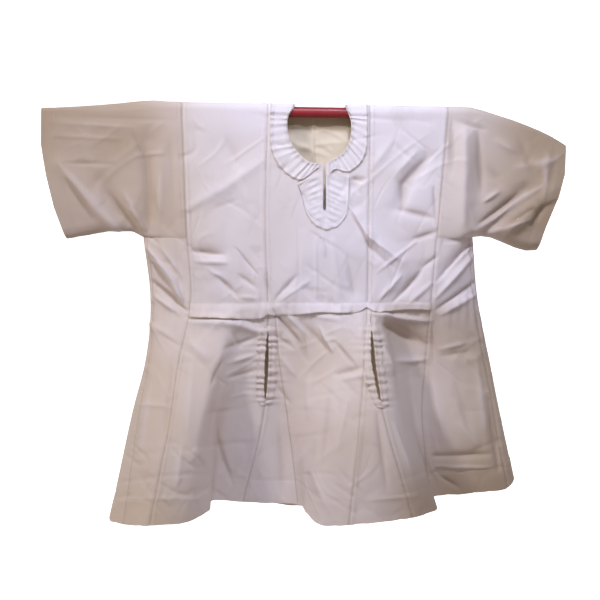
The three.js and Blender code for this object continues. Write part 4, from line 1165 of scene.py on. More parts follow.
def lacquer_material():
    """Red lacquer over turned wood: brush streaks, worn darker patches and a clear gloss"""
    tree = ShaderTree("red_lacquer")
    place = tree.object_place()
    streaks = tree.noise(tree.stretched(place, (6, 180, 180)), 1.0, 4.0)
    worn = tree.band(tree.noise(place, 26.0, 3.0), 0.58, 0.8)
    colour = tree.mix(tree.band(streaks, 0.3, 0.7), (0.33, 0.004, 0.010, 1), (0.22, 0.003, 0.008, 1))
    colour = tree.mix(worn * 0.4, colour, (0.10, 0.004, 0.006, 1))
    bump = tree.bump(0.12, 0.0004, streaks)
    return tree.finish({"Base Color": colour, "Roughness": 0.42 + 0.16 * streaks, "Normal": bump,
                        "Coat Weight": 0.18 - 0.1 * worn, "Coat Roughness": 0.35})


COTTON = cotton_material("white_cotton", (0.74, 0.67, 0.73, 1), (0.63, 0.505, 0.42, 1),
                         (0.42, 0.31, 0.23, 1))
# Sleeves: a darker, tanner copy of the cotton, partly painted shade where the sleeves get less light
SHADED_SLEEVE_COTTON = cotton_material("sleeve_cotton", (0.71, 0.625, 0.64, 1), (0.49, 0.37, 0.285, 1),
                                (0.36, 0.26, 0.18, 1))
TRIM_COTTON = cotton_material("trim_cotton", (0.76, 0.70, 0.77, 1), (0.66, 0.545, 0.46, 1),
                              (0.46, 0.36, 0.29, 1), 1.3)
# Facing: dark brown on both faces, painted shadow of the rod on the strip below it
SHADOWED_FACING_COTTON = cotton_material("shadowed_facing_cotton", (0.50, 0.40, 0.29, 1), (0.38, 0.29, 0.20, 1),
                                (0.27, 0.20, 0.13, 1), 1.3, (0.42, 0.31, 0.20, 1))
THREAD = thread_material()
LACQUER = lacquer_material()


# Pieces of cloth

def sew(node, outer, inner, material, slot, held, rests_on, width_row=None, ring=False, **wall):
    """Cloth piece in a solid's place, its flat cut size worked out, and the solid hidden"""
    piece = wall_object(f"{node}_cloth", outer, inner, material, ring=ring, **wall)
    width, length, area = cut_size(outer, ring, width_row)
    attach(piece, "root")
    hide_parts(node)


def trunk_slice(source, first_line, last_line, first_row, final_row):
    """Part of a trunk grid between two fold lines and two rows, both included"""
    first = COLUMN[first_line]
    last = COLUMNS if last_line == "left_fold" else COLUMN[last_line]
    count = (last - first) % COLUMNS or COLUMNS
    columns = (first + np.arange(count + 1)) % COLUMNS
    return source[first_row:final_row + 1, columns]


def part_from_slit(outer, pocket, at_end):
    """Draws a panel's rows back from a pocket slit, which opens as a lens"""
    middle, half = middle_and_half(pocket)
    result = outer.copy()
    for r, row in enumerate(outer):
        edge = row[-1] if at_end else row[0]
        reach = (edge[2] - middle) / half
        if abs(reach) >= 1:
            continue
        gap = POCKET_SLIT_HALF * math.sqrt(1 - reach * reach)
        run = np.r_[0, np.cumsum(np.linalg.norm(np.diff(row, axis=0), axis=1))]
        start, end = (0, run[-1] - gap) if at_end else (gap, run[-1])
        targets = start + run * (end - start) / run[-1]
        result[r] = np.stack([np.interp(targets, run, row[:, k]) for k in range(3)], axis=-1)
    return result


# Cloth pieces of the trunk: solid, fold lines at its sides, and its first and last row
PANELS = (
    ("front_left_panel", "left_gore_seam", "left_pocket_seam", 0, WAIST_ROW),
    ("front_centre_panel", "left_pocket_seam", "right_godet_seam", 0, WAIST_ROW),
    ("front_right_panel", "right_godet_seam", "right_gore_seam", 0, WAIST_ROW),
    ("skirt_left_panel", "left_gore_seam", "left_pocket_seam", WAIST_ROW, LAST_ROW),
    ("skirt_left_godet", "left_pocket_seam", "left_godet_seam", WAIST_ROW, LAST_ROW),
    ("skirt_centre_panel", "left_godet_seam", "right_godet_seam", WAIST_ROW, LAST_ROW),
    ("skirt_right_godet", "right_godet_seam", "right_pocket_seam", WAIST_ROW, LAST_ROW),
    ("skirt_right_panel", "right_pocket_seam", "right_gore_seam", WAIST_ROW, LAST_ROW),
    ("front_left_gore", "left_side_seam", "left_gore_seam", UNDERARM_ROW, LAST_ROW),
    ("front_right_gore", "right_gore_seam", "right_side_seam", UNDERARM_ROW, LAST_ROW),
    ("back_right_gore", "right_side_seam", "back_right_gore_seam", UNDERARM_ROW, LAST_ROW),
    ("back_left_gore", "back_left_gore_seam", "left_side_seam", UNDERARM_ROW, LAST_ROW),
    ("back_right_panel", "back_right_gore_seam", "back_centre_seam", 0, LAST_ROW),
    ("back_left_panel", "back_centre_seam", "back_left_gore_seam", 0, LAST_ROW),
)


def slit_outline(top, taper):
    """Neck slit from the top of its left side round to the top of its right side"""
    left, right = NECK_SLIT_X - NECK_SLIT_HALF, NECK_SLIT_X + NECK_SLIT_HALF
    return [(left, top), (left, NECK_SLIT_BOTTOM + taper), (NECK_SLIT_X, NECK_SLIT_BOTTOM),
            (right, NECK_SLIT_BOTTOM + taper), (right, top)]


def neck_outline():
    """Neck opening with its slit, open above the rod"""
    slit = slit_outline(-103, 4)
    edge = smooth_line(NECK_EDGE, 60)
    before = [tuple(p) for p in edge if p[0] < slit[0][0]]
    after = [tuple(p) for p in edge if p[0] > slit[-1][0]]
    return np.array([(NECK_LEFT, ABOVE_ROD), *before, *slit, *after, (NECK_RIGHT, ABOVE_ROD)])


BACK_NECK = np.array([(NECK_LEFT, ABOVE_ROD), (NECK_LEFT, BACK_NECK_DEPTH),
                      (NECK_RIGHT, BACK_NECK_DEPTH), (NECK_RIGHT, ABOVE_ROD)])


def build_panels():
    """Every panel and gore of the trunk, with the neck cut out and the skirt parted at the slits"""
    for node, *cut in PANELS:
        outer = trunk_slice(TRUNK, *cut)
        for pocket in POCKETS.values():
            if node.startswith("skirt") and pocket["seam"] in cut:
                outer = part_from_slit(outer, pocket, at_end=pocket["seam"] == cut[1])
        keep = None
        if node == "front_centre_panel":
            outer, keep = cut_hole(outer, trunk_slice(TRUNK_NORMALS, *cut), neck_outline())
        if node in ("back_right_panel", "back_left_panel"):
            outer, keep = cut_hole(outer, trunk_slice(TRUNK_NORMALS, *cut), BACK_NECK)
        inner = outer - CLOTH * trunk_slice(BASE_NORMALS, *cut)
        sew(node, outer, inner, COTTON, "cotton", "hung", ["hanging_rod"], keep=keep,
            seam=bell(trunk_slice(REACH, *cut), SEAM_SHADE), fold=trunk_slice(CREASE_SHADING, *cut))


# Sleeves

def sleeve_value(table, column, along):
    """Number from a column of a sleeve's table at a share along it"""
    return np.interp(along, [row[0] for row in table], [row[column] for row in table])


def underarm_depth(x, first, last):
    """Depth of the underarm seam at x, read off the gore's top edge"""
    start, end = COLUMN[first], COLUMN[last]
    columns = np.arange(start, (end or COLUMNS) + 1) % COLUMNS
    edge = BASE[UNDERARM_ROW, columns]
    order = np.argsort(edge[:, 0])
    return abs(np.interp(x, edge[order, 0], edge[order, 1]))


UNDERARM_EDGES = {
    ("left", "front"): ("left_fold", "left_gore_seam"),
    ("left", "back"): ("back_left_gore_seam", "left_fold"),
    ("right", "front"): ("right_gore_seam", "right_fold"),
    ("right", "back"): ("right_fold", "back_right_gore_seam"),
}


def sleeve_point(side, along, start, face, drop, angle):
    """Point of a sleeve at a share along it, on its arch or at a drop down its face"""
    table = SLEEVES[side]
    cuff_x, front_belly, back_belly = CUFFS[side]
    top, bottom, half = (sleeve_value(table, k, along) for k in (1, 2, 3))
    rise = blend(ARCH_RISE, 9, smooth_step(along, 0.2, 0.9))
    sign = -1 if face == "front" else 1
    belly = front_belly if face == "front" else back_belly
    x = blend(start[0], np.interp(drop * 4, range(5), cuff_x), along)
    centre = ARCH_Y * (1 - along)
    shoulder = top - rise
    if angle is not None:
        turn = math.radians(angle)
        return (x, centre + sign * half * math.cos(turn), shoulder + rise * math.sin(turn))
    swell = math.sin(math.pi * min(1, drop * 0.72))
    loose = half + (belly - half) * swell
    depth = blend(abs(start[1] - centre), loose, min(1, along * 1.3))
    opened = 0
    if along < CLOSING_SHARE and drop > 0.5:
        opened = underarm_depth(x, *UNDERARM_EDGES[side, face])
    past = min(max((drop - BOTTOM_ROUND_FROM) / (1 - BOTTOM_ROUND_FROM), 0), 1)
    kept = opened + (depth - opened) * math.sqrt(1 - past * past)
    centred = centre if drop < 0.5 else centre * (1 - (drop - 0.5) * 2)
    return (x, centred + sign * kept, blend(shoulder, bottom, drop))


def sleeve_grid(side):
    """Base grid of a sleeve, along it and round its ring, and the trunk's points at its start"""
    columns = {"front": COLUMN[f"{side}_gore_seam"], "back": COLUMN[f"back_{side}_gore_seam"]}
    down = [(r, 0, ARCH_ANGLES[r]) for r in range(1, ARCH_ROWS)]
    down += [(r, BODY_ROWS[r - ARCH_ROWS][1], None) for r in range(ARCH_ROWS, UNDERARM_ROW)]
    down.append((UNDERARM_ROW, 1.0, None))
    ring = [("front", *row) for row in reversed(down)]
    ring += [("front", 0, 0, 90)] + [("back", *row) for row in down]
    steps = [(k / SLEEVE_STEPS) for k in range(SLEEVE_STEPS + 1)]
    base = np.array([[sleeve_point(side, along, BASE[r, columns[face]], face, drop, angle)
                      for face, r, drop, angle in ring] for along in steps])
    base[0] = [BASE[r, columns[face]] for face, r, _, _ in ring]
    base[1:] = broad_crease(base[1:])
    start = np.array([TRUNK[r, columns[face]] for face, r, _, _ in ring])
    if side == "left":
        return base[:, ::-1], start[::-1]
    return base, start


def build_sleeve(side):
    """One sleeve; its troughs stay clear of its other face, and its start joins the trunk's edge"""
    base, start = sleeve_grid(side)
    normals = grid_normals(base)
    run = cloth_coordinates(base)[..., 1] / MM
    from_cuff = run[-1] - run
    detail = detail_height(base, normals)
    # Crease heights for the painted shade in troughs and painted highlight on crests
    fold = detail / CREASE_SHADING_HEIGHT
    room = np.maximum(0.8 * np.abs(base[..., 1]) - 2, 0.8)
    detail = np.where(detail < 0, room * np.tanh(detail / room), detail)
    detail -= 0.8 * bell(from_cuff - CUFF_DEPTH, 2.2)
    detail += 0.4 * smooth_step(-from_cuff, -CUFF_DEPTH - 1, -CUFF_DEPTH + 2)
    detail -= 0.9 * bell(run, 1.8)
    outer = base + normals * detail[..., None]
    for end in (0, -1):
        outer[:, end, 1] = base[:, end, 1]
    outer += (start - outer[0]) * np.exp(-run / 12)[..., None]
    sew(f"{side}_sleeve", outer, outer - CLOTH * normals, SHADED_SLEEVE_COTTON, "sleeve_cotton", "hung",
        ["hanging_rod"], seam=bell(run, SEAM_SHADE), fold=fold)
    return outer, grid_normals(outer)


# Layers sewn on the panels

def front_surface():
    """Tree of the front's facets, and its corners' normals"""
    points = trunk_slice(TRUNK, "left_fold", "right_fold", 0, LAST_ROW)
    normals = trunk_slice(TRUNK_NORMALS, "left_fold", "right_fold", 0, LAST_ROW)
    rows, columns = points.shape[:2]
    flat = np.nan_to_num(points.reshape(-1, 3), nan=1e4)
    faces = []
    for r in range(rows - 1):
        for c in range(columns - 1):
            k = r * columns + c
            if np.isfinite(points[r:r + 2, c:c + 2]).all():
                faces.append((k, k + columns, k + columns + 1, k + 1))
    corners = KDTree(len(flat))
    for k, point in enumerate(flat):
        corners.insert(point, k)
    corners.balance()
    corner_normals = np.nan_to_num(normals.reshape(-1, 3))
    return BVHTree.FromPolygons(flat.tolist(), faces), corners, corner_normals


FACETS, CORNERS, CORNER_NORMALS = front_surface()


def smooth_normal(point):
    """Mean normal of the corners near a point of the front"""
    total = np.zeros(3)
    for _, k, away in CORNERS.find_n(point, 6):
        total += CORNER_NORMALS[k] / (away + 1)
    return total / np.linalg.norm(total)


def on_front(x, z):
    """Point and normal where a line from the front meets the cloth at x and z"""
    hit, _, _, _ = FACETS.ray_cast(Vector((x, -400, z)), Vector((0, 1, 0)))
    if hit is None:
        crown = -ROD_FALL * x + ARCH_RISE
        hit = Vector((x, ARCH_Y, crown))
    return np.array(hit), smooth_normal(hit)


def lay_on_front(xz, under, top):
    """Outer and inner grids of a layer laid on the front at x and z"""
    rows, columns = xz.shape[:2]
    outer, inner = np.empty((rows, columns, 3)), np.empty((rows, columns, 3))
    for r in range(rows):
        for c in range(columns):
            point, normal = on_front(*xz[r, c])
            outer[r, c] = point + normal * top[r, c]
            inner[r, c] = point + normal * under[r, c]
    return outer, inner


def uneven_waves(share, count, seed):
    """Puckers from -1 to 1 with uneven spacing and depth"""
    random = np.random.default_rng(seed)
    phases, depths = random.uniform(-1, 1, 12), random.uniform(0.55, 1, count + 2)
    shift = sum(0.35 * phases[k] * np.sin((k + 1) * np.pi * share * 2) / (k + 1) for k in range(4))
    place = share * count + shift
    return np.cos(2 * np.pi * place) * np.interp(np.clip(place, 0, count + 1), range(count + 2), depths)


BAND_STEPS = 150
BAND_WAVES = 13
BAND_SEEDS = {"left": 5, "right": 6}
BAND_SHARES = (0, 0.04, 0.09, 0.17, 0.28, 0.4, 0.52, 0.64, 0.75, 0.84, 0.9, 0.95, 1)


def build_band(side):
    """Gathered band round one side of the neck, its pleats pressed flat here and there"""
    table = BANDS[side]
    inner_edge = smooth_line([row[:2] for row in table], BAND_STEPS)
    outer_edge = smooth_line([row[2:] for row in table], BAND_STEPS)
    share = np.array(BAND_SHARES)[:, None]
    along = np.linspace(0, 1, BAND_STEPS + 1)[None, :]
    waves = uneven_waves(along, BAND_WAVES, BAND_SEEDS[side])
    scallop = 0.25 * waves[0][:, None] * (outer_edge - inner_edge) / 38
    xz = blend(inner_edge[None], outer_edge[None] + scallop[None], share[..., None])
    over_rod = smooth_step(xz[..., 1], -8, 6)
    side_share = np.abs(2 * share - 1)
    reach = 0.25 + 0.75 * side_share ** 1.5
    random = np.random.default_rng(17).uniform(0, 1, 40)
    length = np.interp(along * 30, range(40), random)
    gather = 1.5 * waves * blend(reach, 1, smooth_step(length, 0.35, 0.8))
    rims = 0.9 * bell(share - 0.04, 0.04) + 1.1 * bell(share - 0.93, 0.05)
    stitched = -0.7 * bell(share - 0.8, 0.05) - 0.6 * bell(share - 0.14, 0.05)
    edge = 0.8 * np.sqrt(np.clip(np.minimum(share, 1 - share) / 0.04, 0, 1))
    under = 0.3 + over_rod
    top = under + 0.5 + edge + gather * 0.8 + 0.9 + rims + stitched
    outer, inner = lay_on_front(xz, under, top)
    seam = np.broadcast_to(bell(np.minimum(share, 1 - share), 0.06), top.shape)
    sew(f"neck_band_{side}", outer, inner, TRIM_COTTON, "trim_cotton", "gathered",
        ["front_centre_panel"], seam=seam)
    return outer


def build_placket():
    """Shield-shaped patch round the neck slit, rimmed, with puckers slanting from the slit"""
    columns = 56
    tops = smooth_line([row[:2] for row in PLACKET], columns)
    ends = smooth_line([(row[0], row[2]) for row in PLACKET], columns)
    share = np.r_[0, 0.03, 0.07, np.linspace(0.12, 0.88, 26), 0.93, 0.97, 1][:, None]
    xz = blend(tops[None], ends[None], share[..., None])
    x, z = xz[..., 0], xz[..., 1]
    border = np.minimum(np.minimum(share, 1 - share) * np.abs(tops[:, 1] - ends[:, 1])[None], 30)
    side = np.minimum(np.abs(x - xz[:, :1, 0]), np.abs(x - xz[:, -1:, 0]))
    border = np.minimum(border, side)
    rim = 0.9 * bell(border - 2.4, 1.8) - 0.7 * bell(border - 6.5, 1.6)
    beside = np.abs(x - NECK_SLIT_X)
    lip = 1.3 * bell(beside - 6, 2.4) * smooth_step(z, NECK_SLIT_BOTTOM - 14, NECK_SLIT_BOTTOM)
    slanted = (z + 0.45 * beside + 250) / 150
    puckers = 1.2 * uneven_waves(slanted, 12, 8) * bell(beside - 20, 15)
    folds = 0.8 * lattice_noise(x, z, 9, 71) + puckers
    edge = 0.7 * np.sqrt(np.clip(border / 1.5, 0, 1))
    under = np.full(x.shape, 0.3)
    top = under + 1.1 + edge + rim + lip + 1.2 * folds
    outer, inner = lay_on_front(xz, under, top)
    normals = -grid_normals(outer)
    moved, keep = cut_hole(outer, normals, np.array(slit_outline(-60, 5)))
    sew("neck_placket", moved, inner + (moved - outer), TRIM_COTTON, "trim_cotton", "stretched",
        ["front_centre_panel"], width_row=0, keep=keep, seam=bell(border, 2))
    return moved


def build_tuck():
    """Doubled cloth across the waist, its lower edge rolled and standing free"""
    first, last = COLUMN["left_gore_seam"], COLUMN["right_gore_seam"]
    shares = np.r_[0, 0.05, 0.12, 0.22, 0.35, 0.5, 0.64, 0.76, 0.86, 0.93, 0.98, 1]
    edge_x, edge_z = [p[0] for p in TUCK_EDGE], [p[1] for p in TUCK_EDGE]
    xs = np.linspace(BASE[WAIST_ROW, first, 0] + 0.6, BASE[WAIST_ROW, last, 0] - 0.6, 170)
    bottoms = np.interp(xs, edge_x, edge_z)
    waves = line_noise(xs, 26, 82) + 0.6 * line_noise(xs, 9, 83)
    pinch = sum(bell(xs - FOLD_LINES[name]["waist"][0], 9) for name in TUCK_PINCHES)
    bottoms = bottoms + 2.2 * line_noise(xs, 48, 84) + 7 * pinch
    share = shares[:, None]
    z = blend(TUCK_TOP + 1.2 * line_noise(xs, 60, 81), bottoms, share)
    x = np.broadcast_to(xs, z.shape)
    under = 0.15 + 2.9 * share ** 2.2 * (1 + 0.35 * waves) * (1 - 0.6 * pinch)
    roll = 2.0 * smooth_step(share, 0, 0.4) * np.sqrt(np.clip((1 - share) / 0.16, 0, 1))
    top = under + 0.2 + 0.5 * smooth_step(share, 0, 0.3) + roll + 1.9 * share * waves
    outer, inner = lay_on_front(np.stack((x, z), axis=-1), under, top)
    sew("waist_tuck", outer, inner, COTTON, "cotton", "stretched", ["front_centre_panel"],
        seam=np.broadcast_to(0.45 * bell(1 - share, 0.05), z.shape))
    return outer


def on_trunk(r, c):
    """Point and normal on the creased trunk at a fractional row and column"""
    r0, c0 = min(int(r), LAST_ROW - 1), int(math.floor(c))
    fr, fc = r - r0, c - c0

    def pick(source):
        upper = blend(source[r0, c0 % COLUMNS], source[r0, (c0 + 1) % COLUMNS], fc)
        lower = blend(source[r0 + 1, c0 % COLUMNS], source[r0 + 1, (c0 + 1) % COLUMNS], fc)
        return blend(upper, lower, fr)

    normal = pick(TRUNK_NORMALS)
    return pick(TRUNK), normal / np.linalg.norm(normal)


def row_at_height(column, z):
    """Fractional row of the creased trunk at a height"""
    heights = TRUNK[ARCH_ROWS:, column % COLUMNS, 2]
    return ARCH_ROWS + np.interp(-z, -heights, np.arange(len(heights)))


def across_from_seam(r, column, distance):
    """Place on the trunk at a row and a distance across from a seam, along the cloth"""
    step = 1 if distance >= 0 else -1
    left, c = abs(distance), column
    here, normal = on_trunk(r, c)
    for _ in range(40):
        after, _ = on_trunk(r, c + step)
        span = np.linalg.norm(after - here)
        if left <= span:
            return on_trunk(r, c + step * left / span)
        left -= span
        c += step
        here = after
    return here, normal


def signed_power(value, power):
    """Power of a number's size, with its sign kept"""
    return math.copysign(abs(value) ** power, value)


def build_binding(side):
    """Gathered ring of cloth round a pocket slit, with a raised rim at the slit"""
    pocket = POCKETS[side]
    column = COLUMN[pocket["seam"]]
    middle, reach = middle_and_half(pocket)
    turns = 200
    shares = (0, 0.04, 0.1, 0.2, 0.32, 0.45, 0.58, 0.7, 0.8, 0.88, 0.94, 0.98, 1)
    lift = 0.3 if side == "left" else 0.6
    outer, inner = np.empty((len(shares), turns, 3)), np.empty((len(shares), turns, 3))
    for i, share in enumerate(shares):
        for k in range(turns):
            turn = k / turns * 2 * math.pi
            across = signed_power(math.cos(turn), 0.5)
            inner_s = (POCKET_SLIT_HALF - 0.4) * math.cos(turn)
            inner_z = middle + (reach - 1) * math.sin(turn)
            outer_z = middle + (reach + 9) * signed_power(math.sin(turn), 0.7)
            hand = 1 if across > 0 else -1
            wave = float(pocket_waves(outer_z, pocket, hand))
            outer_s = (BINDING_HALF - 3.5 + 3.4 * wave) * across
            distance = blend(inner_s, outer_s, share)
            z = blend(inner_z, outer_z, share)
            point, normal = across_from_seam(row_at_height(column, z), column, distance)
            wave = float(pocket_waves(z, pocket, hand))
            edge = math.sqrt(min(1, min(share, 1 - share) / 0.04))
            rim = 1.5 * bell(share - 0.12, 0.1) - 0.5 * bell(share - 0.3, 0.06)
            top = lift + 0.25 + 0.3 * edge + rim + (1.1 - 0.5 * share) * (wave + 1) * edge
            outer[i, k] = point + normal * top
            inner[i, k] = point + normal * lift
    rolled = bell(np.array(shares), 0.06) + 0.35 * bell(1 - np.array(shares), 0.05)
    sew(f"{side}_pocket_binding", outer[:, ::-1], inner[:, ::-1], COTTON, "trim_cotton", "gathered",
        [f"skirt_{side}_panel"], ring=True, seam=np.broadcast_to(rolled[:, None], outer.shape[:2]))
    return outer


# Facing: x at its ends, the row where it starts over the rod, and how many rows it hangs below
FACING_RIGHT = 72
FACING_LEFT = -70
FACING_TOP_ROW = 4.2
FACING_ROWS = 7.4


def build_facing():
    """Strip turned in behind the back of the neck, with a ragged lower edge, coloured dark brown as painted
    shadow of the rod
    """
    first, last = COLUMN["back_right_inner"], COLUMN["back_left_inner"]
    xs = np.linspace(FACING_RIGHT, FACING_LEFT, 90)
    columns = np.interp(-xs, -TRUNK[ARCH_ROWS, first:last + 1, 0], np.arange(first, last + 1))
    ragged = 2.4 * line_noise(xs, 8, 96) + 2.4 * line_noise(xs, 21, 97)
    edge_row = ARCH_ROWS + FACING_ROWS
    drops = np.r_[np.linspace(FACING_TOP_ROW, ARCH_ROWS, 5), np.linspace(ARCH_ROWS + 1, edge_row, 9)]
    outer, inner = np.empty((len(drops), len(xs), 3)), np.empty((len(drops), len(xs), 3))
    for i, drop in enumerate(drops):
        for k, column in enumerate(columns):
            shift = ragged[k] / ROW_PITCH * smooth_step(drop, ARCH_ROWS + 3, edge_row)
            point, normal = on_trunk(drop + shift, column)
            outer[i, k] = point - normal * (CLOTH + 0.2)
            curl = (0.6 + 0.35 * math.sin(k * 1.3)) * smooth_step(drop, ARCH_ROWS + 4, edge_row)
            inner[i, k] = point - normal * (CLOTH + 1.0 + curl)
    sew("back_neck_facing", outer, inner, SHADOWED_FACING_COTTON, "trim_cotton", "stretched",
        ["back_left_panel"])
    return inner


# Stitches along lines, by Geometry Nodes

class NodeBuilder:
    """Geometry node tree with named inputs"""

    def __init__(self, name):
        self.tree = bpy.data.node_groups.new(name, "GeometryNodeTree")
        interface = self.tree.interface
        interface.new_socket("Geometry", in_out="INPUT", socket_type="NodeSocketGeometry")
        interface.new_socket("Geometry", in_out="OUTPUT", socket_type="NodeSocketGeometry")
        self.source = self.tree.nodes.new("NodeGroupInput")
        self.target = self.tree.nodes.new("NodeGroupOutput")

    def number(self, name, value):
        socket = self.tree.interface.new_socket(name, in_out="INPUT", socket_type="NodeSocketFloat")
        socket.default_value = value
        return self.source.outputs[name]

    def node(self, kind, values=None, **settings):
        made = self.tree.nodes.new(kind)
        for key, value in settings.items():
            setattr(made, key, value)
        for key, value in (values or {}).items():
            if isinstance(value, bpy.types.NodeSocket):
                self.tree.links.new(value, made.inputs[key])
            else:
                made.inputs[key].default_value = value
        return made


def stitch_tree():
    """Small thread loops set along curves, each turned along its line and a little uneven"""
    build = NodeBuilder("stitches_along_lines")
    pitch = build.number("Stitch pitch", 0.0045)
    length = build.number("Stitch length", 0.0030)
    width = build.number("Thread width", 0.0007)
    seed = build.number("Seed", 3.0)
    curve = build.node("GeometryNodeMeshToCurve", {"Mesh": build.source.outputs["Geometry"]})
    even = build.node("GeometryNodeResampleCurve", {"Curve": curve.outputs["Curve"]})
    mode = even.inputs.get("Mode")
    if mode is not None:
        mode.default_value = "Length"
    else:
        even.mode = "LENGTH"
    build.tree.links.new(pitch, even.inputs["Length"])
    thread = build.node("GeometryNodeMeshIcoSphere", {"Radius": 0.5, "Subdivisions": 1})
    tangent = build.node("GeometryNodeInputTangent")
    turned = build.node("FunctionNodeAlignRotationToVector",
                        {"Vector": tangent.outputs["Tangent"]}, axis="X")
    uneven = build.node("FunctionNodeRandomValue", {2: 0.75, 3: 1.2}, data_type="FLOAT")
    build.tree.links.new(seed, uneven.inputs["Seed"])
    long = build.node("ShaderNodeMath", {0: length, 1: uneven.outputs[1]}, operation="MULTIPLY")
    size = build.node("ShaderNodeCombineXYZ", {"X": long.outputs[0], "Y": width, "Z": width})
    placed = build.node("GeometryNodeInstanceOnPoints", {
        "Points": even.outputs["Curve"], "Instance": thread.outputs["Mesh"],
        "Rotation": turned.outputs["Rotation"], "Scale": size.outputs["Vector"]})
    real = build.node("GeometryNodeRealizeInstances", {"Geometry": placed.outputs["Instances"]})
    coloured = build.node("GeometryNodeSetMaterial", {"Geometry": real.outputs["Geometry"],
                                                      "Material": THREAD})
    build.tree.links.new(coloured.outputs["Geometry"], build.target.inputs["Geometry"])
    return build.tree


STITCHES = stitch_tree()


def set_input(modifier, name, value):
    """Sets a modifier's input by the name it has in the node tree"""
    for item in modifier.node_group.interface.items_tree:
        if item.item_type == "SOCKET" and item.in_out == "INPUT" and item.name == name:
            modifier[item.identifier] = value


def build_stitches(name, lines, pitch, length, width, seed):
    """Runs of stitches along lines of points, as one plain mesh"""
    points, edges = [], []
    for line in lines:
        start = len(points)
        points += [tuple(p * MM) for p in line]
        edges += [(start + k, start + k + 1) for k in range(len(line) - 1)]
    mesh = bpy.data.meshes.new(f"{name}_lines")
    mesh.from_pydata(points, edges, [])
    source = add_object(f"{name}_lines", mesh)
    modifier = source.modifiers.new("stitches", "NODES")
    modifier.node_group = STITCHES
    for label, value in (("Stitch pitch", pitch), ("Stitch length", length),
                         ("Thread width", width), ("Seed", seed)):
        set_input(modifier, label, value)
    evaluated = source.evaluated_get(bpy.context.evaluated_depsgraph_get())
    made = bpy.data.meshes.new_from_object(evaluated)
    source.modifiers.clear()
    bpy.data.objects.remove(source)
    made.name = name
    shade_smooth(made)
    piece = add_object(name, made)
    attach(piece, "root")


def beside_seam(name, distance, first, final):
    """Line at a distance from a seam, just above the cloth"""
    line = []
    for r in range(first, final + 1, 2):
        point, normal = across_from_seam(r, COLUMN[name], distance)
        line.append(point + normal * STITCH_LIFT)
    return line


def hem_line(first_line, last_line):
    """Line along the top of the turned-up hem"""
    line = []
    first, last = COLUMN[first_line], COLUMN[last_line] or COLUMNS
    for c in range(first, last + 1, 2):
        column = c % COLUMNS
        z = TRUNK[LAST_ROW, column, 2] + HEM_DEPTH
        point, normal = on_trunk(row_at_height(column, z), column)
        line.append(point + normal * STITCH_LIFT)
    return line


def seam_lines():
    """Two rows of stitches beside every seam, one at its fold and one at its felled edge, and the hem's"""
    lines = []
    for name in SEAM_LINES:
        first = 4 if "shoulder" in FOLD_LINES[name] else WAIST_ROW + 7
        if name.endswith("side_seam"):
            first = UNDERARM_ROW
        for distance in FELLED_ROWS:
            lines.append(beside_seam(name, distance, first, LAST_ROW))
    lines.append(hem_line("left_fold", "right_fold"))
    lines.append(hem_line("right_fold", "left_fold"))
    return lines


def grid_line(grid, share):
    """Line round a layer's outer face at a share of its rows"""
    place = share * (len(grid) - 1)
    r = min(int(place), len(grid) - 2)
    return list(blend(grid[r], grid[r + 1], place - r) + np.array((0, -0.2, 0)))


def stitched_ring(x, z, radius):
    """Small ring of stitches on the front"""
    line = []
    for turn in np.linspace(0, 2 * np.pi, 15):
        point, normal = on_front(x + radius * math.cos(turn), z + radius * math.sin(turn))
        line.append(point + 0.3 * normal)
    return line


def sleeve_lines():
    """Rings of stitches round the cuffs and beside the armholes"""
    lines = []
    for outer, normals in sleeves.values():
        run = cloth_coordinates(outer)[:, FRONT_COLUMN, 1] / MM
        for place in (run[-1] - CUFF_DEPTH, 2, 9):
            row = int(np.argmin(np.abs(run - place)))
            lines.append(list(outer[row] + STITCH_LIFT * normals[row]))
    return lines


def trim_lines():
    """Stitches that hold the bands, the neck patch, the tuck and the bindings"""
    lines = [grid_line(band, share) for band in bands.values() for share in (0.22, 0.72)]
    lines += [grid_line(placket, 0.1), grid_line(placket, 0.9), grid_line(tuck, 0.1)]
    lines += [grid_line(binding, share) for binding in bindings.values() for share in (0.33, 0.68)]
    return lines + [stitched_ring(5, -262, radius) for radius in (2.5, 5.5)]


def overcast_lines(grid):
    """Slanting hand stitches over the facing's ragged edge"""
    lines = []
    for k in range(2, grid.shape[1] - 2, 3):
        lines.append([grid[-1, k] + (0, -0.4, -2.2), grid[-2, k + 1] + (0, -0.4, 0.6)])
    return lines


# Rod

def eased_corner(end, inward):
    """Rounded edge of the rod's end, from its flat face to its side, as place and radius"""
    corner = []
    for k in range(5):
        turn = k / 5 * math.pi / 2
        corner.append((end + inward * ROD_EASE * (1 - math.cos(turn)),
                       ROD_RADIUS - ROD_EASE * (1 - math.sin(turn))))
    return corner


def build_rod():
    """Turned rod with eased ends, its axis falling a little to the right"""
    around = 48
    profile = [(ROD_LEFT, 0), *eased_corner(ROD_LEFT, 1)]
    for k in range(41):
        profile.append((blend(ROD_LEFT + ROD_EASE, ROD_RIGHT - ROD_EASE, k / 40), ROD_RADIUS))
    profile += [*reversed(eased_corner(ROD_RIGHT, -1)), (ROD_RIGHT, 0)]
    fall = math.atan(ROD_FALL)
    along = np.array((math.cos(fall), 0, -math.sin(fall)))
    up = np.array((math.sin(fall), 0, math.cos(fall)))
    depth = np.array((0, 1, 0))
    points = [along * profile[0][0]]
    for x, radius in profile[1:-1]:
        for k in range(around):
            turn = k / around * 2 * math.pi
            points.append(along * x + radius * (math.cos(turn) * up + math.sin(turn) * depth))
    points.append(along * profile[-1][0])
    rings = len(profile) - 2
    faces = []
    for k in range(around):
        after = (k + 1) % around
        faces.append((0, 1 + k, 1 + after))
        last = 1 + (rings - 1) * around
        faces.append((len(points) - 1, last + after, last + k))
        for r in range(rings - 1):
            a, b = 1 + r * around, 1 + (r + 1) * around
            faces.append((a + k, b + k, b + after, a + after))
    rod = make_object("lacquered_rod", np.array(points), faces, LACQUER)
    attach(rod, "root")
    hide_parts("hanging_rod")


# The whole smock

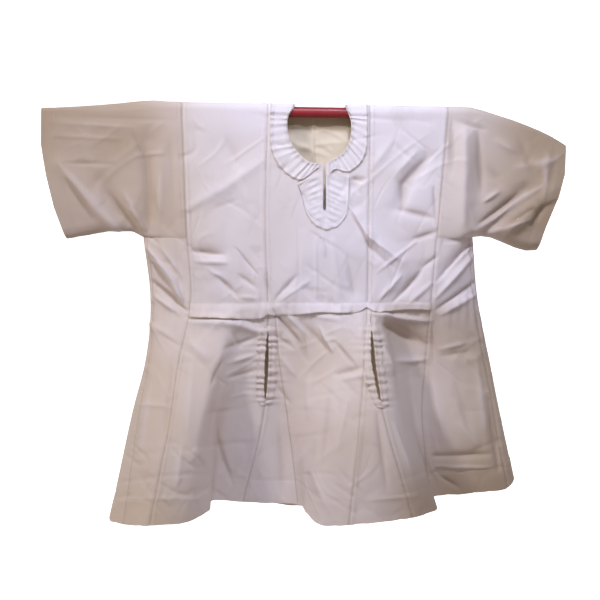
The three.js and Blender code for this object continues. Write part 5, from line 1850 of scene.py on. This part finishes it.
build_rod()
build_panels()
sleeves = {side: build_sleeve(side) for side in ("left", "right")}
bands = {side: build_band(side) for side in ("left", "right")}
placket = build_placket()
tuck = build_tuck()
bindings = {side: build_binding(side) for side in ("left", "right")}
facing = build_facing()

build_stitches("seam_stitches", seam_lines(), pitch=0.0050, length=0.0032, width=0.0006, seed=3.0)
build_stitches("sleeve_stitches", sleeve_lines(), pitch=0.0050, length=0.0032, width=0.0006, seed=4.0)
build_stitches("trim_stitches", trim_lines(), pitch=0.0040, length=0.0027, width=0.0007, seed=5.0)
build_stitches("facing_stitches", overcast_lines(facing), pitch=0.0020, length=0.0022, width=0.0008,
               seed=6.0)


# Studio

def sweep_material():
    """Pale backdrop, lit from within where it rises behind the object"""
    tree = ShaderTree("studio_sweep")
    place = tree.object_place()
    mottle = tree.noise(place, 0.6, 2.0)
    _, y, _ = tree.axes(place)
    far = tree.band(y, 0.9, 2.2)
    return tree.finish({"Base Color": tree.mix(mottle, (0.90, 0.90, 0.90, 1), (0.87, 0.87, 0.87, 1)),
                        "Emission Color": tree.mix(far, (0, 0, 0, 1), (1, 1, 1, 1)),
                        "Emission Strength": 0.95, "Roughness": 0.9})


def build_stage():
    """Pale floor that sweeps up into a pale wall"""
    wide, near, wall, radius, floor, top, steps = 4.5, -2.6, 3.4, 1.5, -1.9, 4.0, 12
    profile = [(near, floor), (wall - radius, floor)]
    for k in range(1, steps + 1):
        turn = k / steps * math.pi / 2
        profile.append((wall - radius + radius * math.sin(turn), floor + radius * (1 - math.cos(turn))))
    profile.append((wall, top))
    points = [(side * wide, y, z) for y, z in profile for side in (-1, 1)]
    faces = [(2 * k, 2 * k + 1, 2 * k + 3, 2 * k + 2) for k in range(len(profile) - 1)]
    make_object("studio_sweep", np.array(points) / MM, faces, sweep_material())


def add_light(name, place, target, size, power, colour, spread=180):
    """Round area light, its size in metres, power in watts and spread in degrees"""
    data = bpy.data.lights.new(name, "AREA")
    data.shape, data.size, data.energy, data.color = "DISK", size, power, colour
    data.spread = math.radians(spread)
    light = add_object(name, data)
    light.location = place
    light.rotation_euler = (Vector(target) - Vector(place)).to_track_quat("-Z", "Y").to_euler()


def build_studio():
    """Backdrop, a warm light from the left, two faint ones and a dim warm sky"""
    build_stage()
    add_light("warm_left", (-1.8, -1.2, 1.0), (-0.04, 0, -0.35), 0.3, 25, (1.0, 0.955, 0.89))
    add_light("cool_top", (0.12, -0.9, 1.1), (0.05, 0, -0.2), 0.25, 4, (0.74, 0.83, 1.0), 80)
    add_light("front_fill", (0.1, -2.2, 0.0), (0, 0, -0.3), 0.5, 4, (0.97, 0.96, 1.0))
    world = bpy.data.worlds.new("studio_light")
    world.use_nodes = True
    sky = world.node_tree.nodes["Background"]
    sky.inputs["Color"].default_value = (1, 0.90, 0.86, 1)
    sky.inputs["Strength"].default_value = 0.24
    bpy.context.scene.world = world
    bpy.context.scene.view_settings.view_transform = "Standard"


def build_camera():
    """Camera of the front view"""
    data = bpy.data.cameras.new("front_view")
    data.lens, data.sensor_width = EYE_LENS, 36
    camera = add_object("front_view", data)
    camera.location = EYE * MM
    camera.rotation_euler = (math.radians(EYE_TILT), 0, 0)
    bpy.context.scene.camera = camera


build_studio()
build_camera()
